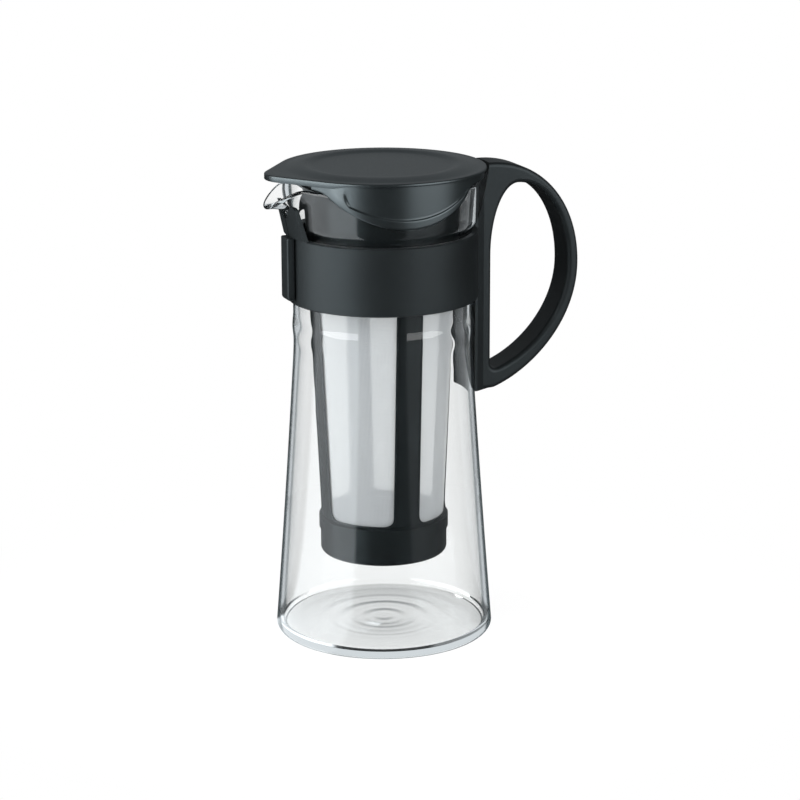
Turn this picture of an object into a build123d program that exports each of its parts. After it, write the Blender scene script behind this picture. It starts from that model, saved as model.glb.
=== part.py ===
from build123d import *

import os
from math import acos, cos, degrees, radians, sin, sqrt

# Cold brew coffee maker: glass jug, clamped handle band with a sliding clasp,
# lift-off lid and a hanging strainer basket with a pull-off bottom cap.
# Millimetres, +Z up, origin at the centre of the jug's foot.
# +X points to the handle, -X to the pouring lip.

# Glass jug, outside
JUG_FOOT_R = 45.2
JUG_FOOT_CORNER = 2.4
JUG_REST_R = 43.3
JUG_REST_WIDTH = 5.0
JUG_PUNT_DEPTH = 0.8
JUG_PUNT_SLOPE = 4.0
JUG_PAD_R = 6.0
JUG_MID_R = 40.75
JUG_MID_Z = 60.0
NECK_R = 36.6
NECK_Z = 116.0
WAIST_Z = 124.0
BEAD_HEIGHT = 0.4
BEAD_LENGTH = 12.0
FLARE_Z = 169.6
COLLAR_WIDENING = 2.2
COLLAR_Z = 173.5
RIM_R = 39.7
RIM_Z = 190.0

# Glass thickness
NECK_WALL = 1.8
RIM_WALL = 2.0
FLOOR_THICK = 2.6
FLOOR_CORNER = 2.8

# Pouring lip
LIP_HALF_ANGLE = 21.0
LIP_SECTIONS = 7
LIP_REACH = 10.2
LIP_DROP = 6.6
LIP_DROP_POWER = 1.2
LIP_CURL = 6.3
LIP_DROOP = 0.9
LIP_SWEEP = 72.0
LIP_POINTS = 6
LIP_ROOT = 1.0
SEAM_TOLERANCE = 0.01

# Handle band
BAND_HEIGHT = 27.7
BAND_THICK = 2.5
BAND_EDGE = 0.5
BAND_NECK_GAP = 0.2
SLIT_WIDTH = 0.6
SLIT_REACH = 6.0

# Fork on the band, below the pouring lip
FORK_HEIGHT = 13.5
FORK_ROOT_THICK = 1.9
FORK_TIP_THICK = 1.6
FORK_STEP = 1.0
FORK_LEAN = 3.2
FORK_TIP_HALF = 10.6
FORK_ROOT_HALF = 12.4
FORK_TIP_CORNER = 1.6
FORK_ROOT_DEPTH = 4.0
FORK_SWEEP = 40.0
NOTCH_R = 4.6
NOTCH_DEPTH = 5.8
NOTCH_FLARE_DEPTH = 2.4
NOTCH_MOUTH_HALF = 7.4

# Clasp strip that slides over a dovetail rail on the band ends
CLASP_LENGTH = 25.7
CLASP_WIDTH = 8.2
CLASP_THICK = 3.0
CLASP_CORNER = 1.1
CLASP_FOOT_BEVEL = 1.1
CLASP_GAP = 0.3
RAIL_DEPTH = 1.8
RAIL_ROOT_WIDTH = 4.0
RAIL_FACE_WIDTH = 5.8
RAIL_SINK = 1.1
RAIL_FIT = 0.15

# Strainer basket
FLANGE_INSET = 0.4
FLANGE_THICK = 1.5
FLANGE_NECK_WIDTH = 4.1
FLANGE_GAP_X = -31.0
FLANGE_CURL = 7.0
CONE_BOTTOM_Z = 44.0
CONE_BOTTOM_R = 25.45
CONE_TOP_R = 31.7
CONE_WALL = 1.6
RING_STEP = 1.45
RING_HEIGHT = 6.0
RIB_WIDTH = 10.8
WINDOW_SILL = 0.5
WINDOW_HEIGHT = 99.5
WINDOW_CORNER = 4.0
WINDOW_COUNT = 4
MESH_THICK = 0.4
MESH_DEPTH = 0.6

# Strainer bottom cap
CAP_HEIGHT = 10.35
CAP_STEP = 0.6
CAP_EDGE = 1.8
CAP_WALL = 1.6
SPIGOT_FIT = 0.3
SPIGOT_HEIGHT = 4.5
SPIGOT_WALL = 1.4

# Lid
SKIRT_GAP = 0.5
SKIRT_WALL = 1.1
SKIRT_HEIGHT = 2.9
LID_OVERHANG = 0.9
LID_BEAK = 7.4
LID_BEAK_R = 12.0
BEAK_EDGE_DEPTH = 1.2
BEAK_EDGE_WALL = 1.3
BEAK_EDGE_END_X = -31.0
LID_RIM_THICK = 1.3
LID_RIM_EDGE = 0.6
LID_CROWN_INSET = 2.7
LID_CREST_INSET = 10.2
LID_CREST_HEIGHT = 1.1
LID_DISH_R = 27.0
LID_DISH_HEIGHT = 0.2
LOBE_DROP = 17.1
LOBE_R = 39.0
LOBE_OFFSET_X = -4.7
LOBE_SHOULDER_R = 5.0
LOBE_LIP = 0.6
LOBE_LIP_WIDTH = 3.7
LOBE_LIP_INNER_R = 46.0
LOBE_LIP_DROP = 5.3
SEAT_HEIGHT = 2.8
SEAT_INSET = 2.1
SEAT_WALL = 1.2

# Handle
HANDLE_WIDTH = 15.0
HANDLE_EDGE = 1.8
HANDLE_EDGE_SHARE = 0.42
HANDLE_REACH = 85.2
HANDLE_REACH_Z = 150.0
LOOP_ROUNDNESS = 0.5
LOOP_CREST_ROUNDNESS = 0.575
LOOP_FOOT_SLOPE = 18.5
LOOP_TOE = 1.5
LOOP_TOE_CORNER = 6.0
STRAP_THICK = 4.8
STRAP_TOP = 9.2
STRAP_FOOT = 7.5
BAR_FACE_X = 45.4
BAR_BOTTOM_Z = 99.5
BAR_ROOT_WIDTH = 18.4
BAR_FLARE_X = 38.5
BAR_INSET = 0.6
GRIP_CREST_SETBACK = 22.7
GRIP_CORNER = 2.4
GRIP_SHOULDER_RISE = 6.0
GRIP_FOOT_SLOPE = 13.6
GRIP_CREST_ROUNDNESS = 0.55
MOUTH_GAP = 1.1
LID_SIDE_GAP = 2.6
HANDLE_LID_RISE = 0.35

# Places that follow from the sizes
BEAD_Z = WAIST_Z + BEAD_LENGTH / 2
COLLAR_R = NECK_R + COLLAR_WIDENING
COLLAR_SLOPE = (RIM_R - COLLAR_R) / (RIM_Z - COLLAR_Z)
LIP_FLOOR_Z = COLLAR_Z + LIP_ROOT
BAND_TOP_Z = FLARE_Z - BAND_NECK_GAP
BAND_BOTTOM_Z = BAND_TOP_Z - BAND_HEIGHT
BAND_R = NECK_R + BAND_THICK
CLASP_TOP_Z = BAND_TOP_Z + 0.1
CLASP_BOTTOM_Z = CLASP_TOP_Z - CLASP_LENGTH
CLASP_BACK_X = -BAND_R - CLASP_GAP
CLASP_FACE_X = CLASP_BACK_X - CLASP_THICK
RAIL_FACE_X = -BAND_R - RAIL_DEPTH
FORK_TIP_Z = CLASP_TOP_Z + FORK_HEIGHT
FORK_ROOT_R = BAND_R + FORK_STEP
FORK_ROOT_INNER_R = FORK_ROOT_R - FORK_ROOT_THICK
FORK_TIP_INNER_R = FORK_ROOT_INNER_R + FORK_LEAN
FORK_TIP_R = FORK_TIP_INNER_R + FORK_TIP_THICK
FLANGE_R = RIM_R - FLANGE_INSET
FLANGE_TOP_Z = RIM_Z + FLANGE_THICK
CONE_TOP_Z = RIM_Z - FLANGE_CURL
CONE_SLOPE = (CONE_TOP_R - CONE_BOTTOM_R) / (CONE_TOP_Z - CONE_BOTTOM_Z)
RING_R = CONE_BOTTOM_R + RING_STEP
RING_BORE_R = CONE_BOTTOM_R - CONE_WALL
RING_TOP_Z = CONE_BOTTOM_Z + RING_HEIGHT
WINDOW_BOTTOM_Z = RING_TOP_Z + WINDOW_SILL
WINDOW_TOP_Z = WINDOW_BOTTOM_Z + WINDOW_HEIGHT
WINDOW_REACH = CONE_TOP_R + 5
CAP_R = RING_R - CAP_STEP
CAP_BOTTOM_Z = CONE_BOTTOM_Z - CAP_HEIGHT
SPIGOT_R = RING_BORE_R - SPIGOT_FIT
SKIRT_R = RIM_R + SKIRT_GAP + SKIRT_WALL
LID_R = SKIRT_R + LID_OVERHANG
LID_RIM_BOTTOM_Z = FLANGE_TOP_Z + SEAT_HEIGHT
LID_RIM_TOP_Z = LID_RIM_BOTTOM_Z + LID_RIM_THICK
SKIRT_BOTTOM_Z = LID_RIM_BOTTOM_Z - SKIRT_HEIGHT
LOBE_BOTTOM_Z = LID_RIM_BOTTOM_Z - LOBE_DROP
LOBE_LIP_TOP_Z = LID_RIM_BOTTOM_Z - LOBE_LIP_DROP
SEAT_R = FLANGE_R - SEAT_INSET
HANDLE_TOP_Z = LID_RIM_BOTTOM_Z + HANDLE_LID_RISE
BAR_ROOT_X = NECK_R - BAND_THICK
BAR_FACE_WIDTH = HANDLE_WIDTH - 2 * HANDLE_EDGE
GRIP_REACH = HANDLE_REACH - STRAP_THICK
GRIP_CREST_X = GRIP_REACH - GRIP_CREST_SETBACK
GRIP_SHOULDER_Z = HANDLE_REACH_Z + GRIP_SHOULDER_RISE
GRIP_TOP_Z = HANDLE_TOP_Z - STRAP_TOP
GRIP_FLOOR_Z = BAR_BOTTOM_Z + STRAP_FOOT


def radial_plane(angle):
    """Plane through the Z axis: local x is the radius at this angle, local y is Z."""
    across = Vector(cos(radians(angle)), sin(radians(angle)), 0)
    return Plane(origin=(0, 0, 0), x_dir=across, z_dir=across.cross(Vector(0, 0, 1)))


def facing_plane(angle):
    """Upright plane through the Z axis that faces outward at this angle: local y is Z."""
    outward = Vector(cos(radians(angle)), sin(radians(angle)), 0)
    return Plane(origin=(0, 0, 0), x_dir=Vector(0, 0, 1).cross(outward), z_dir=outward)


def collar_radius(z):
    """Outside radius of the glass collar, which widens slightly up to the rim."""
    return COLLAR_R + COLLAR_SLOPE * (z - COLLAR_Z)


def cone_radius(z):
    """Outside radius of the strainer basket."""
    return CONE_BOTTOM_R + CONE_SLOPE * (z - CONE_BOTTOM_Z)


def window_half(z):
    """Half width of a basket window, seen straight on, between two ribs of even width."""
    rib_half = RIB_WIDTH / 2
    return (sqrt(cone_radius(z) ** 2 - rib_half**2) - rib_half) / sqrt(2)


def window_corners():
    """Four corners of a basket window, seen straight on."""
    low = window_half(WINDOW_BOTTOM_Z)
    high = window_half(WINDOW_TOP_Z)
    return [(-low, WINDOW_BOTTOM_Z), (low, WINDOW_BOTTOM_Z), (high, WINDOW_TOP_Z), (-high, WINDOW_TOP_Z)]


def crest_points(side, crest, roundness):
    """Control points of a smooth curve that leaves the side point upward and ends level at the crest."""
    above_side = side + Vector(0, crest.Y - side.Y) * roundness
    beside_crest = crest + Vector(side.X - crest.X, 0) * roundness
    return [side, above_side, beside_crest, crest]


def drop_points(side, foot, slope):
    """Control points of a smooth curve that leaves the side point downward and reaches the foot at a slope."""
    fall = side.Y - foot.Y
    reach = side.X - foot.X
    below_side = side - Vector(0, fall) * LOOP_ROUNDNESS
    before_foot = foot + Vector(reach, 0).rotate(Axis.Z, slope) * LOOP_ROUNDNESS
    return [side, below_side, before_foot, foot]


def save_node(part, name):
    """Name one finished piece and write it to the parts folder."""
    part.label = name
    export_step(part, f"parts/{name}.step")


def lip_point(share, bulge):
    """Point (radius, z) on the outside of the collar; share runs from 0 at the root to 1 at the edge."""
    edge_z = RIM_Z - RIM_WALL / 2 * (1 + COLLAR_SLOPE) - LIP_DROP * bulge**LIP_DROP_POWER
    curl_z = edge_z - LIP_CURL * sin(radians(LIP_SWEEP))
    reach = LIP_REACH * bulge / (1 - cos(radians(LIP_SWEEP)))
    if share < 0.25:
        z = LIP_FLOOR_Z + (curl_z - LIP_FLOOR_Z) * share / 0.25
        return collar_radius(z), z
    turn = radians(LIP_SWEEP) * (share - 0.25) / 0.75
    z = curl_z + LIP_CURL * sin(turn) - LIP_DROOP * bulge * ((share - 0.25) / 0.75) ** 4
    return collar_radius(z) + reach * (1 - cos(turn)), z


def lip_wall(bulge):
    """Outside points, inside points and rim crown of one section through the collar wall."""
    step = 0.01
    outside = []
    inside = []
    for index in range(LIP_POINTS + 1):
        share = index / LIP_POINTS
        here = Vector(*lip_point(share, bulge))
        before = Vector(*lip_point(max(share - step, 0), bulge))
        after = Vector(*lip_point(min(share + step, 1), bulge))
        along = (after - before).normalized()
        outside.append(here)
        inside.append(here + Vector(-along.Y, along.X) * RIM_WALL)
    inside[0] = Vector(outside[0].X - RIM_WALL, outside[0].Y)
    crown = (outside[-1] + inside[-1]) / 2 + along * RIM_WALL / 2
    return outside, inside, crown


# Jug body: blown wall, floor and the round part of the collar
with BuildPart() as jug_body:
    with BuildSketch(Plane.XZ):
        with BuildLine():
            rest_in_r = JUG_REST_R - JUG_REST_WIDTH
            wall_low = (JUG_FOOT_R, JUG_FOOT_CORNER)
            wall_high = (NECK_R + 0.3, NECK_Z)
            bead_low = (NECK_R, WAIST_Z)
            bead_high = (NECK_R, WAIST_Z + BEAD_LENGTH)
            bead_peak = (NECK_R + BEAD_HEIGHT, BEAD_Z)
            floor_out = (JUG_FOOT_R - NECK_WALL - FLOOR_CORNER, FLOOR_THICK)
            floor_up = (JUG_FOOT_R - NECK_WALL - 0.5, FLOOR_THICK + FLOOR_CORNER)
            neck_low = (NECK_R - NECK_WALL, NECK_Z + 3)
            neck_top = (NECK_R - NECK_WALL, FLARE_Z + 0.4)
            collar_out = (collar_radius(LIP_FLOOR_Z), LIP_FLOOR_Z)
            collar_in = (collar_radius(LIP_FLOOR_Z) - RIM_WALL, LIP_FLOOR_Z)
            Polyline(
                (0, FLOOR_THICK),
                (0, 0),
                (JUG_PAD_R, 0),
                (JUG_PAD_R + JUG_PUNT_SLOPE, JUG_PUNT_DEPTH),
                (rest_in_r - JUG_PUNT_SLOPE, JUG_PUNT_DEPTH),
                (rest_in_r, 0),
                (JUG_REST_R, 0),
            )
            Spline((JUG_REST_R, 0), wall_low, tangents=[(1, 0), (-0.08, 1)])
            ThreePointArc(wall_low, (JUG_MID_R, JUG_MID_Z), wall_high)
            Spline(wall_high, bead_low, tangents=[(-0.06, 1), (0, 1)])
            Spline(bead_low, bead_peak, bead_high, tangents=[(0, 1), (0, 1)])
            Line(bead_high, (NECK_R, FLARE_Z))
            Spline((NECK_R, FLARE_Z), collar_out, tangents=[(0, 1), (0.06, 1)])
            Line(collar_out, collar_in)
            Spline(collar_in, neck_top, tangents=[(-0.06, -1), (0, -1)])
            Line(neck_top, neck_low)
            ThreePointArc(neck_low, (JUG_MID_R - NECK_WALL, JUG_MID_Z), floor_up)
            Spline(floor_up, floor_out, tangents=[(0.07, -1), (-1, 0)])
            Line(floor_out, (0, FLOOR_THICK))
        make_face()
    revolve(axis=Axis.Z)
    with BuildSketch(radial_plane(180 + LIP_HALF_ANGLE)):
        with BuildLine():
            outer_points, inner_points, rim_crown = lip_wall(0)
            Line(outer_points[0], outer_points[-1])
            ThreePointArc(outer_points[-1], rim_crown, inner_points[-1])
            Line(inner_points[-1], inner_points[0])
            Line(inner_points[0], outer_points[0])
        make_face()
    revolve(axis=Axis.Z, revolution_arc=360 - 2 * LIP_HALF_ANGLE)


# Pouring lip: the collar wall pulled outward, drawn through upright sections around the axis
with BuildPart() as pouring_lip:
    for section in range(-LIP_SECTIONS, LIP_SECTIONS + 1):
        offset_angle = LIP_HALF_ANGLE * section / LIP_SECTIONS
        with BuildSketch(radial_plane(180 + offset_angle)):
            with BuildLine():
                bulge_here = cos(radians(90 * section / LIP_SECTIONS)) ** 2
                outer_points, inner_points, rim_crown = lip_wall(bulge_here)
                Spline(*outer_points)
                ThreePointArc(outer_points[-1], rim_crown, inner_points[-1])
                Spline(*reversed(inner_points))
                Line(inner_points[0], outer_points[0])
            make_face()
    loft()


# Glass jug: body and lip are one piece of glass, joined within a small tolerance
with BuildPart() as glass_jug:
    add(jug_body.part.fuse(pouring_lip.part, tol=SEAM_TOLERANCE))


# Fork: two upright prongs with a U notch that cradles the pouring lip
with BuildPart() as fork:
    with BuildSketch(radial_plane(180 - FORK_SWEEP / 2)):
        with BuildLine():
            Polyline(
                (FORK_ROOT_INNER_R, BAND_TOP_Z - FORK_ROOT_DEPTH),
                (BAND_R, BAND_TOP_Z - FORK_ROOT_DEPTH),
                (BAND_R, CLASP_TOP_Z),
                (FORK_ROOT_R, CLASP_TOP_Z),
                (FORK_TIP_R, FORK_TIP_Z),
                (FORK_TIP_INNER_R, FORK_TIP_Z),
                (FORK_ROOT_INNER_R, BAND_TOP_Z),
                close=True,
            )
        make_face()
    revolve(axis=Axis.Z, revolution_arc=FORK_SWEEP)
    with BuildSketch(Plane.YZ):
        with BuildLine():
            Polyline(
                (-FORK_ROOT_HALF, BAND_TOP_Z - FORK_ROOT_DEPTH),
                (FORK_ROOT_HALF, BAND_TOP_Z - FORK_ROOT_DEPTH),
                (FORK_TIP_HALF, FORK_TIP_Z),
                (-FORK_TIP_HALF, FORK_TIP_Z),
                close=True,
            )
        make_face()
        fillet(vertices().group_by(Axis.Z)[-1], FORK_TIP_CORNER)
        with Locations((0, FORK_TIP_Z - NOTCH_DEPTH + NOTCH_R)):
            Circle(NOTCH_R, mode=Mode.SUBTRACT)
        with BuildLine():
            Polyline(
                (-NOTCH_MOUTH_HALF, FORK_TIP_Z),
                (-NOTCH_R, FORK_TIP_Z - NOTCH_FLARE_DEPTH),
                (NOTCH_R, FORK_TIP_Z - NOTCH_FLARE_DEPTH),
                (NOTCH_MOUTH_HALF, FORK_TIP_Z),
                close=True,
            )
        make_face(mode=Mode.SUBTRACT)
    extrude(amount=-FORK_TIP_R - 5, mode=Mode.INTERSECT)


# Handle band: split band around the neck, clasp rail, fork and looped handle, one moulding
with BuildPart() as handle_band:
    with BuildSketch(Plane.XZ):
        with BuildLine() as loop_line:
            loop_side = Vector(HANDLE_REACH, HANDLE_REACH_Z)
            loop_crest = Vector(BAR_FACE_X, HANDLE_TOP_Z)
            loop_toe = Vector(BAR_FACE_X + LOOP_TOE, BAR_BOTTOM_Z)
            Bezier(*crest_points(loop_side, loop_crest, LOOP_CREST_ROUNDNESS))
            Bezier(*drop_points(loop_side, loop_toe, LOOP_FOOT_SLOPE))
            Polyline(loop_toe, (BAR_ROOT_X, BAR_BOTTOM_Z), (BAR_ROOT_X, HANDLE_TOP_Z), loop_crest)
        make_face()
        fillet(vertices().sort_by_distance(loop_toe)[0], LOOP_TOE_CORNER)
        with BuildLine() as grip_line:
            grip_side = Vector(GRIP_REACH, HANDLE_REACH_Z)
            grip_crest = Vector(GRIP_CREST_X, GRIP_TOP_Z)
            shoulder_half = GRIP_CREST_X - BAR_FACE_X
            shoulder_rise = GRIP_TOP_Z - GRIP_SHOULDER_Z
            shoulder_base = (GRIP_CREST_X, GRIP_SHOULDER_Z)
            grip_corner = Vector(BAR_FACE_X, GRIP_FLOOR_Z)
            Bezier(*crest_points(grip_side, grip_crest, GRIP_CREST_ROUNDNESS))
            shoulder = EllipticalCenterArc(shoulder_base, shoulder_half, shoulder_rise, 90, arc_size=90)
            Bezier(*drop_points(grip_side, grip_corner, GRIP_FOOT_SLOPE))
            Line(grip_corner, shoulder @ 1)
        make_face(mode=Mode.SUBTRACT)
        fillet(vertices().sort_by_distance(grip_corner)[0], GRIP_CORNER)
    extrude(amount=HANDLE_WIDTH / 2, both=True)
    loop_edges = faces().filter_by(Axis.Y).edges()
    strap_wall = loop_line.line.distance_to(grip_line.line)
    strap_edge = min(HANDLE_EDGE, HANDLE_EDGE_SHARE * strap_wall)
    fillet(loop_edges.filter_by_position(Axis.X, BAR_ROOT_X + 1, HANDLE_REACH), strap_edge)
    with BuildSketch(Plane.XY.offset(BAR_BOTTOM_Z)):
        with BuildLine():
            Polyline(
                (BAR_ROOT_X, BAR_ROOT_WIDTH / 2),
                (BAR_FLARE_X, BAR_ROOT_WIDTH / 2),
                (BAR_FACE_X, BAR_FACE_WIDTH / 2),
                (BAR_FACE_X, -BAR_FACE_WIDTH / 2),
                (BAR_FLARE_X, -BAR_ROOT_WIDTH / 2),
                (BAR_ROOT_X, -BAR_ROOT_WIDTH / 2),
                close=True,
            )
        make_face()
    extrude(amount=RIM_Z - BAR_BOTTOM_Z)
    with BuildSketch(Plane.XZ):
        with BuildLine():
            mouth_low = (COLLAR_R + MOUTH_GAP, COLLAR_Z)
            mouth_high = (LID_R + LID_SIDE_GAP, LID_RIM_BOTTOM_Z)
            Polyline(
                mouth_low,
                (BAND_R - 1, BAND_TOP_Z),
                (NECK_R, BAND_TOP_Z),
                (NECK_R, BAND_BOTTOM_Z),
                (BAND_R - BAR_INSET, BAND_BOTTOM_Z),
                (BAND_R - BAR_INSET, BAR_BOTTOM_Z - 5),
                (0, BAR_BOTTOM_Z - 5),
                (0, HANDLE_TOP_Z + 5),
                (mouth_high[0], HANDLE_TOP_Z + 5),
                mouth_high,
            )
            Spline(mouth_low, mouth_high, tangents=[(0.42, 1), (0.16, 1)])
        make_face()
    revolve(axis=Axis.Z, mode=Mode.SUBTRACT)
    with BuildSketch(Plane.XZ):
        with BuildLine():
            Polyline(
                (NECK_R, BAND_BOTTOM_Z),
                (BAND_R - BAND_EDGE, BAND_BOTTOM_Z),
                (BAND_R, BAND_BOTTOM_Z + BAND_EDGE),
                (BAND_R, BAND_TOP_Z - BAND_EDGE),
                (BAND_R - BAND_EDGE, BAND_TOP_Z),
                (NECK_R, BAND_TOP_Z),
                close=True,
            )
        make_face()
    revolve(axis=Axis.Z)
    add(fork.part)
    with BuildSketch(Plane.XY.offset(CLASP_BOTTOM_Z)):
        with BuildLine():
            Polyline(
                (RAIL_FACE_X, RAIL_FACE_WIDTH / 2),
                (RAIL_FACE_X, -RAIL_FACE_WIDTH / 2),
                (-BAND_R, -RAIL_ROOT_WIDTH / 2),
                (RAIL_SINK - BAND_R, -RAIL_ROOT_WIDTH / 2),
                (RAIL_SINK - BAND_R, RAIL_ROOT_WIDTH / 2),
                (-BAND_R, RAIL_ROOT_WIDTH / 2),
                close=True,
            )
        make_face()
    extrude(amount=CLASP_TOP_Z - CLASP_BOTTOM_Z)
    with BuildSketch(Plane.XZ):
        with Locations((-BAND_R, BAND_BOTTOM_Z - 1)):
            Rectangle(2 * SLIT_REACH, FORK_TIP_Z - BAND_BOTTOM_Z, align=(Align.CENTER, Align.MIN))
    extrude(amount=SLIT_WIDTH / 2, both=True, mode=Mode.SUBTRACT)


# Clasp: strip with a dovetail groove that slides up over the rail and closes the band
with BuildPart() as band_clasp:
    with BuildSketch(Plane.XY.offset(CLASP_BOTTOM_Z)):
        with BuildLine():
            Polyline(
                (CLASP_BACK_X, -CLASP_WIDTH / 2),
                (CLASP_FACE_X + CLASP_CORNER, -CLASP_WIDTH / 2),
                (CLASP_FACE_X, CLASP_CORNER - CLASP_WIDTH / 2),
                (CLASP_FACE_X, CLASP_WIDTH / 2 - CLASP_CORNER),
                (CLASP_FACE_X + CLASP_CORNER, CLASP_WIDTH / 2),
                (CLASP_BACK_X, CLASP_WIDTH / 2),
                close=True,
            )
        make_face()
        with BuildLine():
            Polyline(
                (CLASP_BACK_X, RAIL_ROOT_WIDTH / 2 + 2 * RAIL_FIT),
                (RAIL_FACE_X - RAIL_FIT, RAIL_FACE_WIDTH / 2 + RAIL_FIT),
                (RAIL_FACE_X - RAIL_FIT, -RAIL_FACE_WIDTH / 2 - RAIL_FIT),
                (CLASP_BACK_X, -RAIL_ROOT_WIDTH / 2 - 2 * RAIL_FIT),
                close=True,
            )
        make_face(mode=Mode.SUBTRACT)
    extrude(amount=CLASP_TOP_Z - CLASP_BOTTOM_Z)
    clasp_foot = edges().filter_by(Axis.Y).group_by(Axis.Z)[0].sort_by(Axis.X)[0]
    chamfer(clasp_foot, CLASP_FOOT_BEVEL)


# Skirt: wall around the glass rim, open at the beak, with a hanging grip tongue on either side
with BuildPart() as skirt:
    with BuildSketch(Plane.XY.offset(LOBE_BOTTOM_Z - 1)):
        Circle(SKIRT_R)
        Circle(SKIRT_R - SKIRT_WALL, mode=Mode.SUBTRACT)
    extrude(amount=LID_RIM_BOTTOM_Z - LOBE_BOTTOM_Z + 1)
    with BuildSketch(Plane.XZ):
        with BuildLine():
            turn_reach = LOBE_R + LOBE_SHOULDER_R
            shoulder_turn = degrees(acos((turn_reach + SKIRT_HEIGHT - LOBE_DROP) / turn_reach))
            opening_x = LOBE_OFFSET_X - turn_reach * sin(radians(shoulder_turn))
            opening_foot = (opening_x, SKIRT_BOTTOM_Z)
            front_shoulder = JernArc(opening_foot, (1, 0), LOBE_SHOULDER_R, -shoulder_turn)
            tongue = JernArc(front_shoulder @ 1, front_shoulder % 1, LOBE_R, 2 * shoulder_turn)
            back_shoulder = JernArc(tongue @ 1, tongue % 1, LOBE_SHOULDER_R, -shoulder_turn)
            Polyline(
                back_shoulder @ 1,
                (LID_R, SKIRT_BOTTOM_Z),
                (LID_R, LID_RIM_BOTTOM_Z + 1),
                (opening_x, LID_RIM_BOTTOM_Z + 1),
                opening_foot,
            )
        make_face()
    extrude(amount=SKIRT_R + 5, both=True, mode=Mode.INTERSECT)


# Lobe lip: raised edge along the lower side of both tongues
with BuildPart() as lobe_lip:
    with BuildSketch(Plane.XY.offset(LOBE_BOTTOM_Z - 1)):
        Circle(SKIRT_R + LOBE_LIP)
        Circle(SKIRT_R - SKIRT_WALL / 2, mode=Mode.SUBTRACT)
    extrude(amount=LOBE_LIP_TOP_Z - LOBE_BOTTOM_Z + 1)
    with BuildSketch(Plane.XZ):
        with Locations((LOBE_OFFSET_X, LOBE_BOTTOM_Z + LOBE_R)):
            Circle(LOBE_R)
        with Locations((LOBE_OFFSET_X, LOBE_BOTTOM_Z + LOBE_LIP_WIDTH + LOBE_LIP_INNER_R)):
            Circle(LOBE_LIP_INNER_R, mode=Mode.SUBTRACT)
    extrude(amount=SKIRT_R + 5, both=True, mode=Mode.INTERSECT)


# Lid outline: a large circle and the small circle of the beak with their common tangents
with BuildSketch() as lid_outline:
    with BuildLine():
        beak_x = LID_BEAK_R - LID_R - LID_BEAK
        beak_turn = degrees(acos((LID_R - LID_BEAK_R) / -beak_x))
        plate = CenterArc((0, 0), LID_R, beak_turn - 180, 360 - 2 * beak_turn)
        beak = CenterArc((beak_x, 0), LID_BEAK_R, 180 - beak_turn, 2 * beak_turn)
        Line(plate @ 1, beak @ 0)
        Line(beak @ 1, plate @ 0)
    make_face()


# Lid: beaked plate with a shallow dish, a lobed skirt outside the glass and a seat ring
with BuildPart() as lid:
    with BuildSketch(Plane.XY.offset(LID_RIM_BOTTOM_Z)):
        add(lid_outline.sketch)
    extrude(amount=LID_RIM_TOP_Z - LID_RIM_BOTTOM_Z)
    fillet(faces().sort_by(Axis.Z)[-1].edges(), LID_RIM_EDGE)
    with BuildSketch(Plane.XY.offset(LID_RIM_BOTTOM_Z - BEAK_EDGE_DEPTH)):
        add(lid_outline.sketch)
        offset(lid_outline.sketch, amount=-BEAK_EDGE_WALL, mode=Mode.SUBTRACT)
        with Locations((BEAK_EDGE_END_X, 0)):
            Rectangle(LID_R, 2 * LID_R, align=(Align.MAX, Align.CENTER), mode=Mode.INTERSECT)
    extrude(amount=BEAK_EDGE_DEPTH)
    with BuildSketch(Plane.XZ):
        with BuildLine():
            crown_foot = (LID_R - LID_CROWN_INSET, LID_RIM_TOP_Z)
            crest = (LID_R - LID_CREST_INSET, LID_RIM_TOP_Z + LID_CREST_HEIGHT)
            dish_edge = (LID_DISH_R, LID_RIM_TOP_Z + LID_DISH_HEIGHT)
            dish_centre = (0, LID_RIM_TOP_Z + LID_DISH_HEIGHT)
            crown_under = (LID_R - LID_CROWN_INSET, LID_RIM_BOTTOM_Z)
            Spline(crown_foot, crest, dish_edge, tangents=[(-1, 0.12), (-1, 0)])
            Polyline(dish_edge, dish_centre, (0, LID_RIM_BOTTOM_Z), crown_under, crown_foot)
        make_face()
    revolve(axis=Axis.Z)
    add(skirt.part)
    add(lobe_lip.part)
    with BuildSketch(Plane.XY.offset(FLANGE_TOP_Z)):
        Circle(SEAT_R)
        Circle(SEAT_R - SEAT_WALL, mode=Mode.SUBTRACT)
        with Locations((FLANGE_GAP_X + 2, 0)):
            Rectangle(LID_R, 2 * LID_R, align=(Align.MAX, Align.CENTER), mode=Mode.SUBTRACT)
    extrude(amount=SEAT_HEIGHT)


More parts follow.
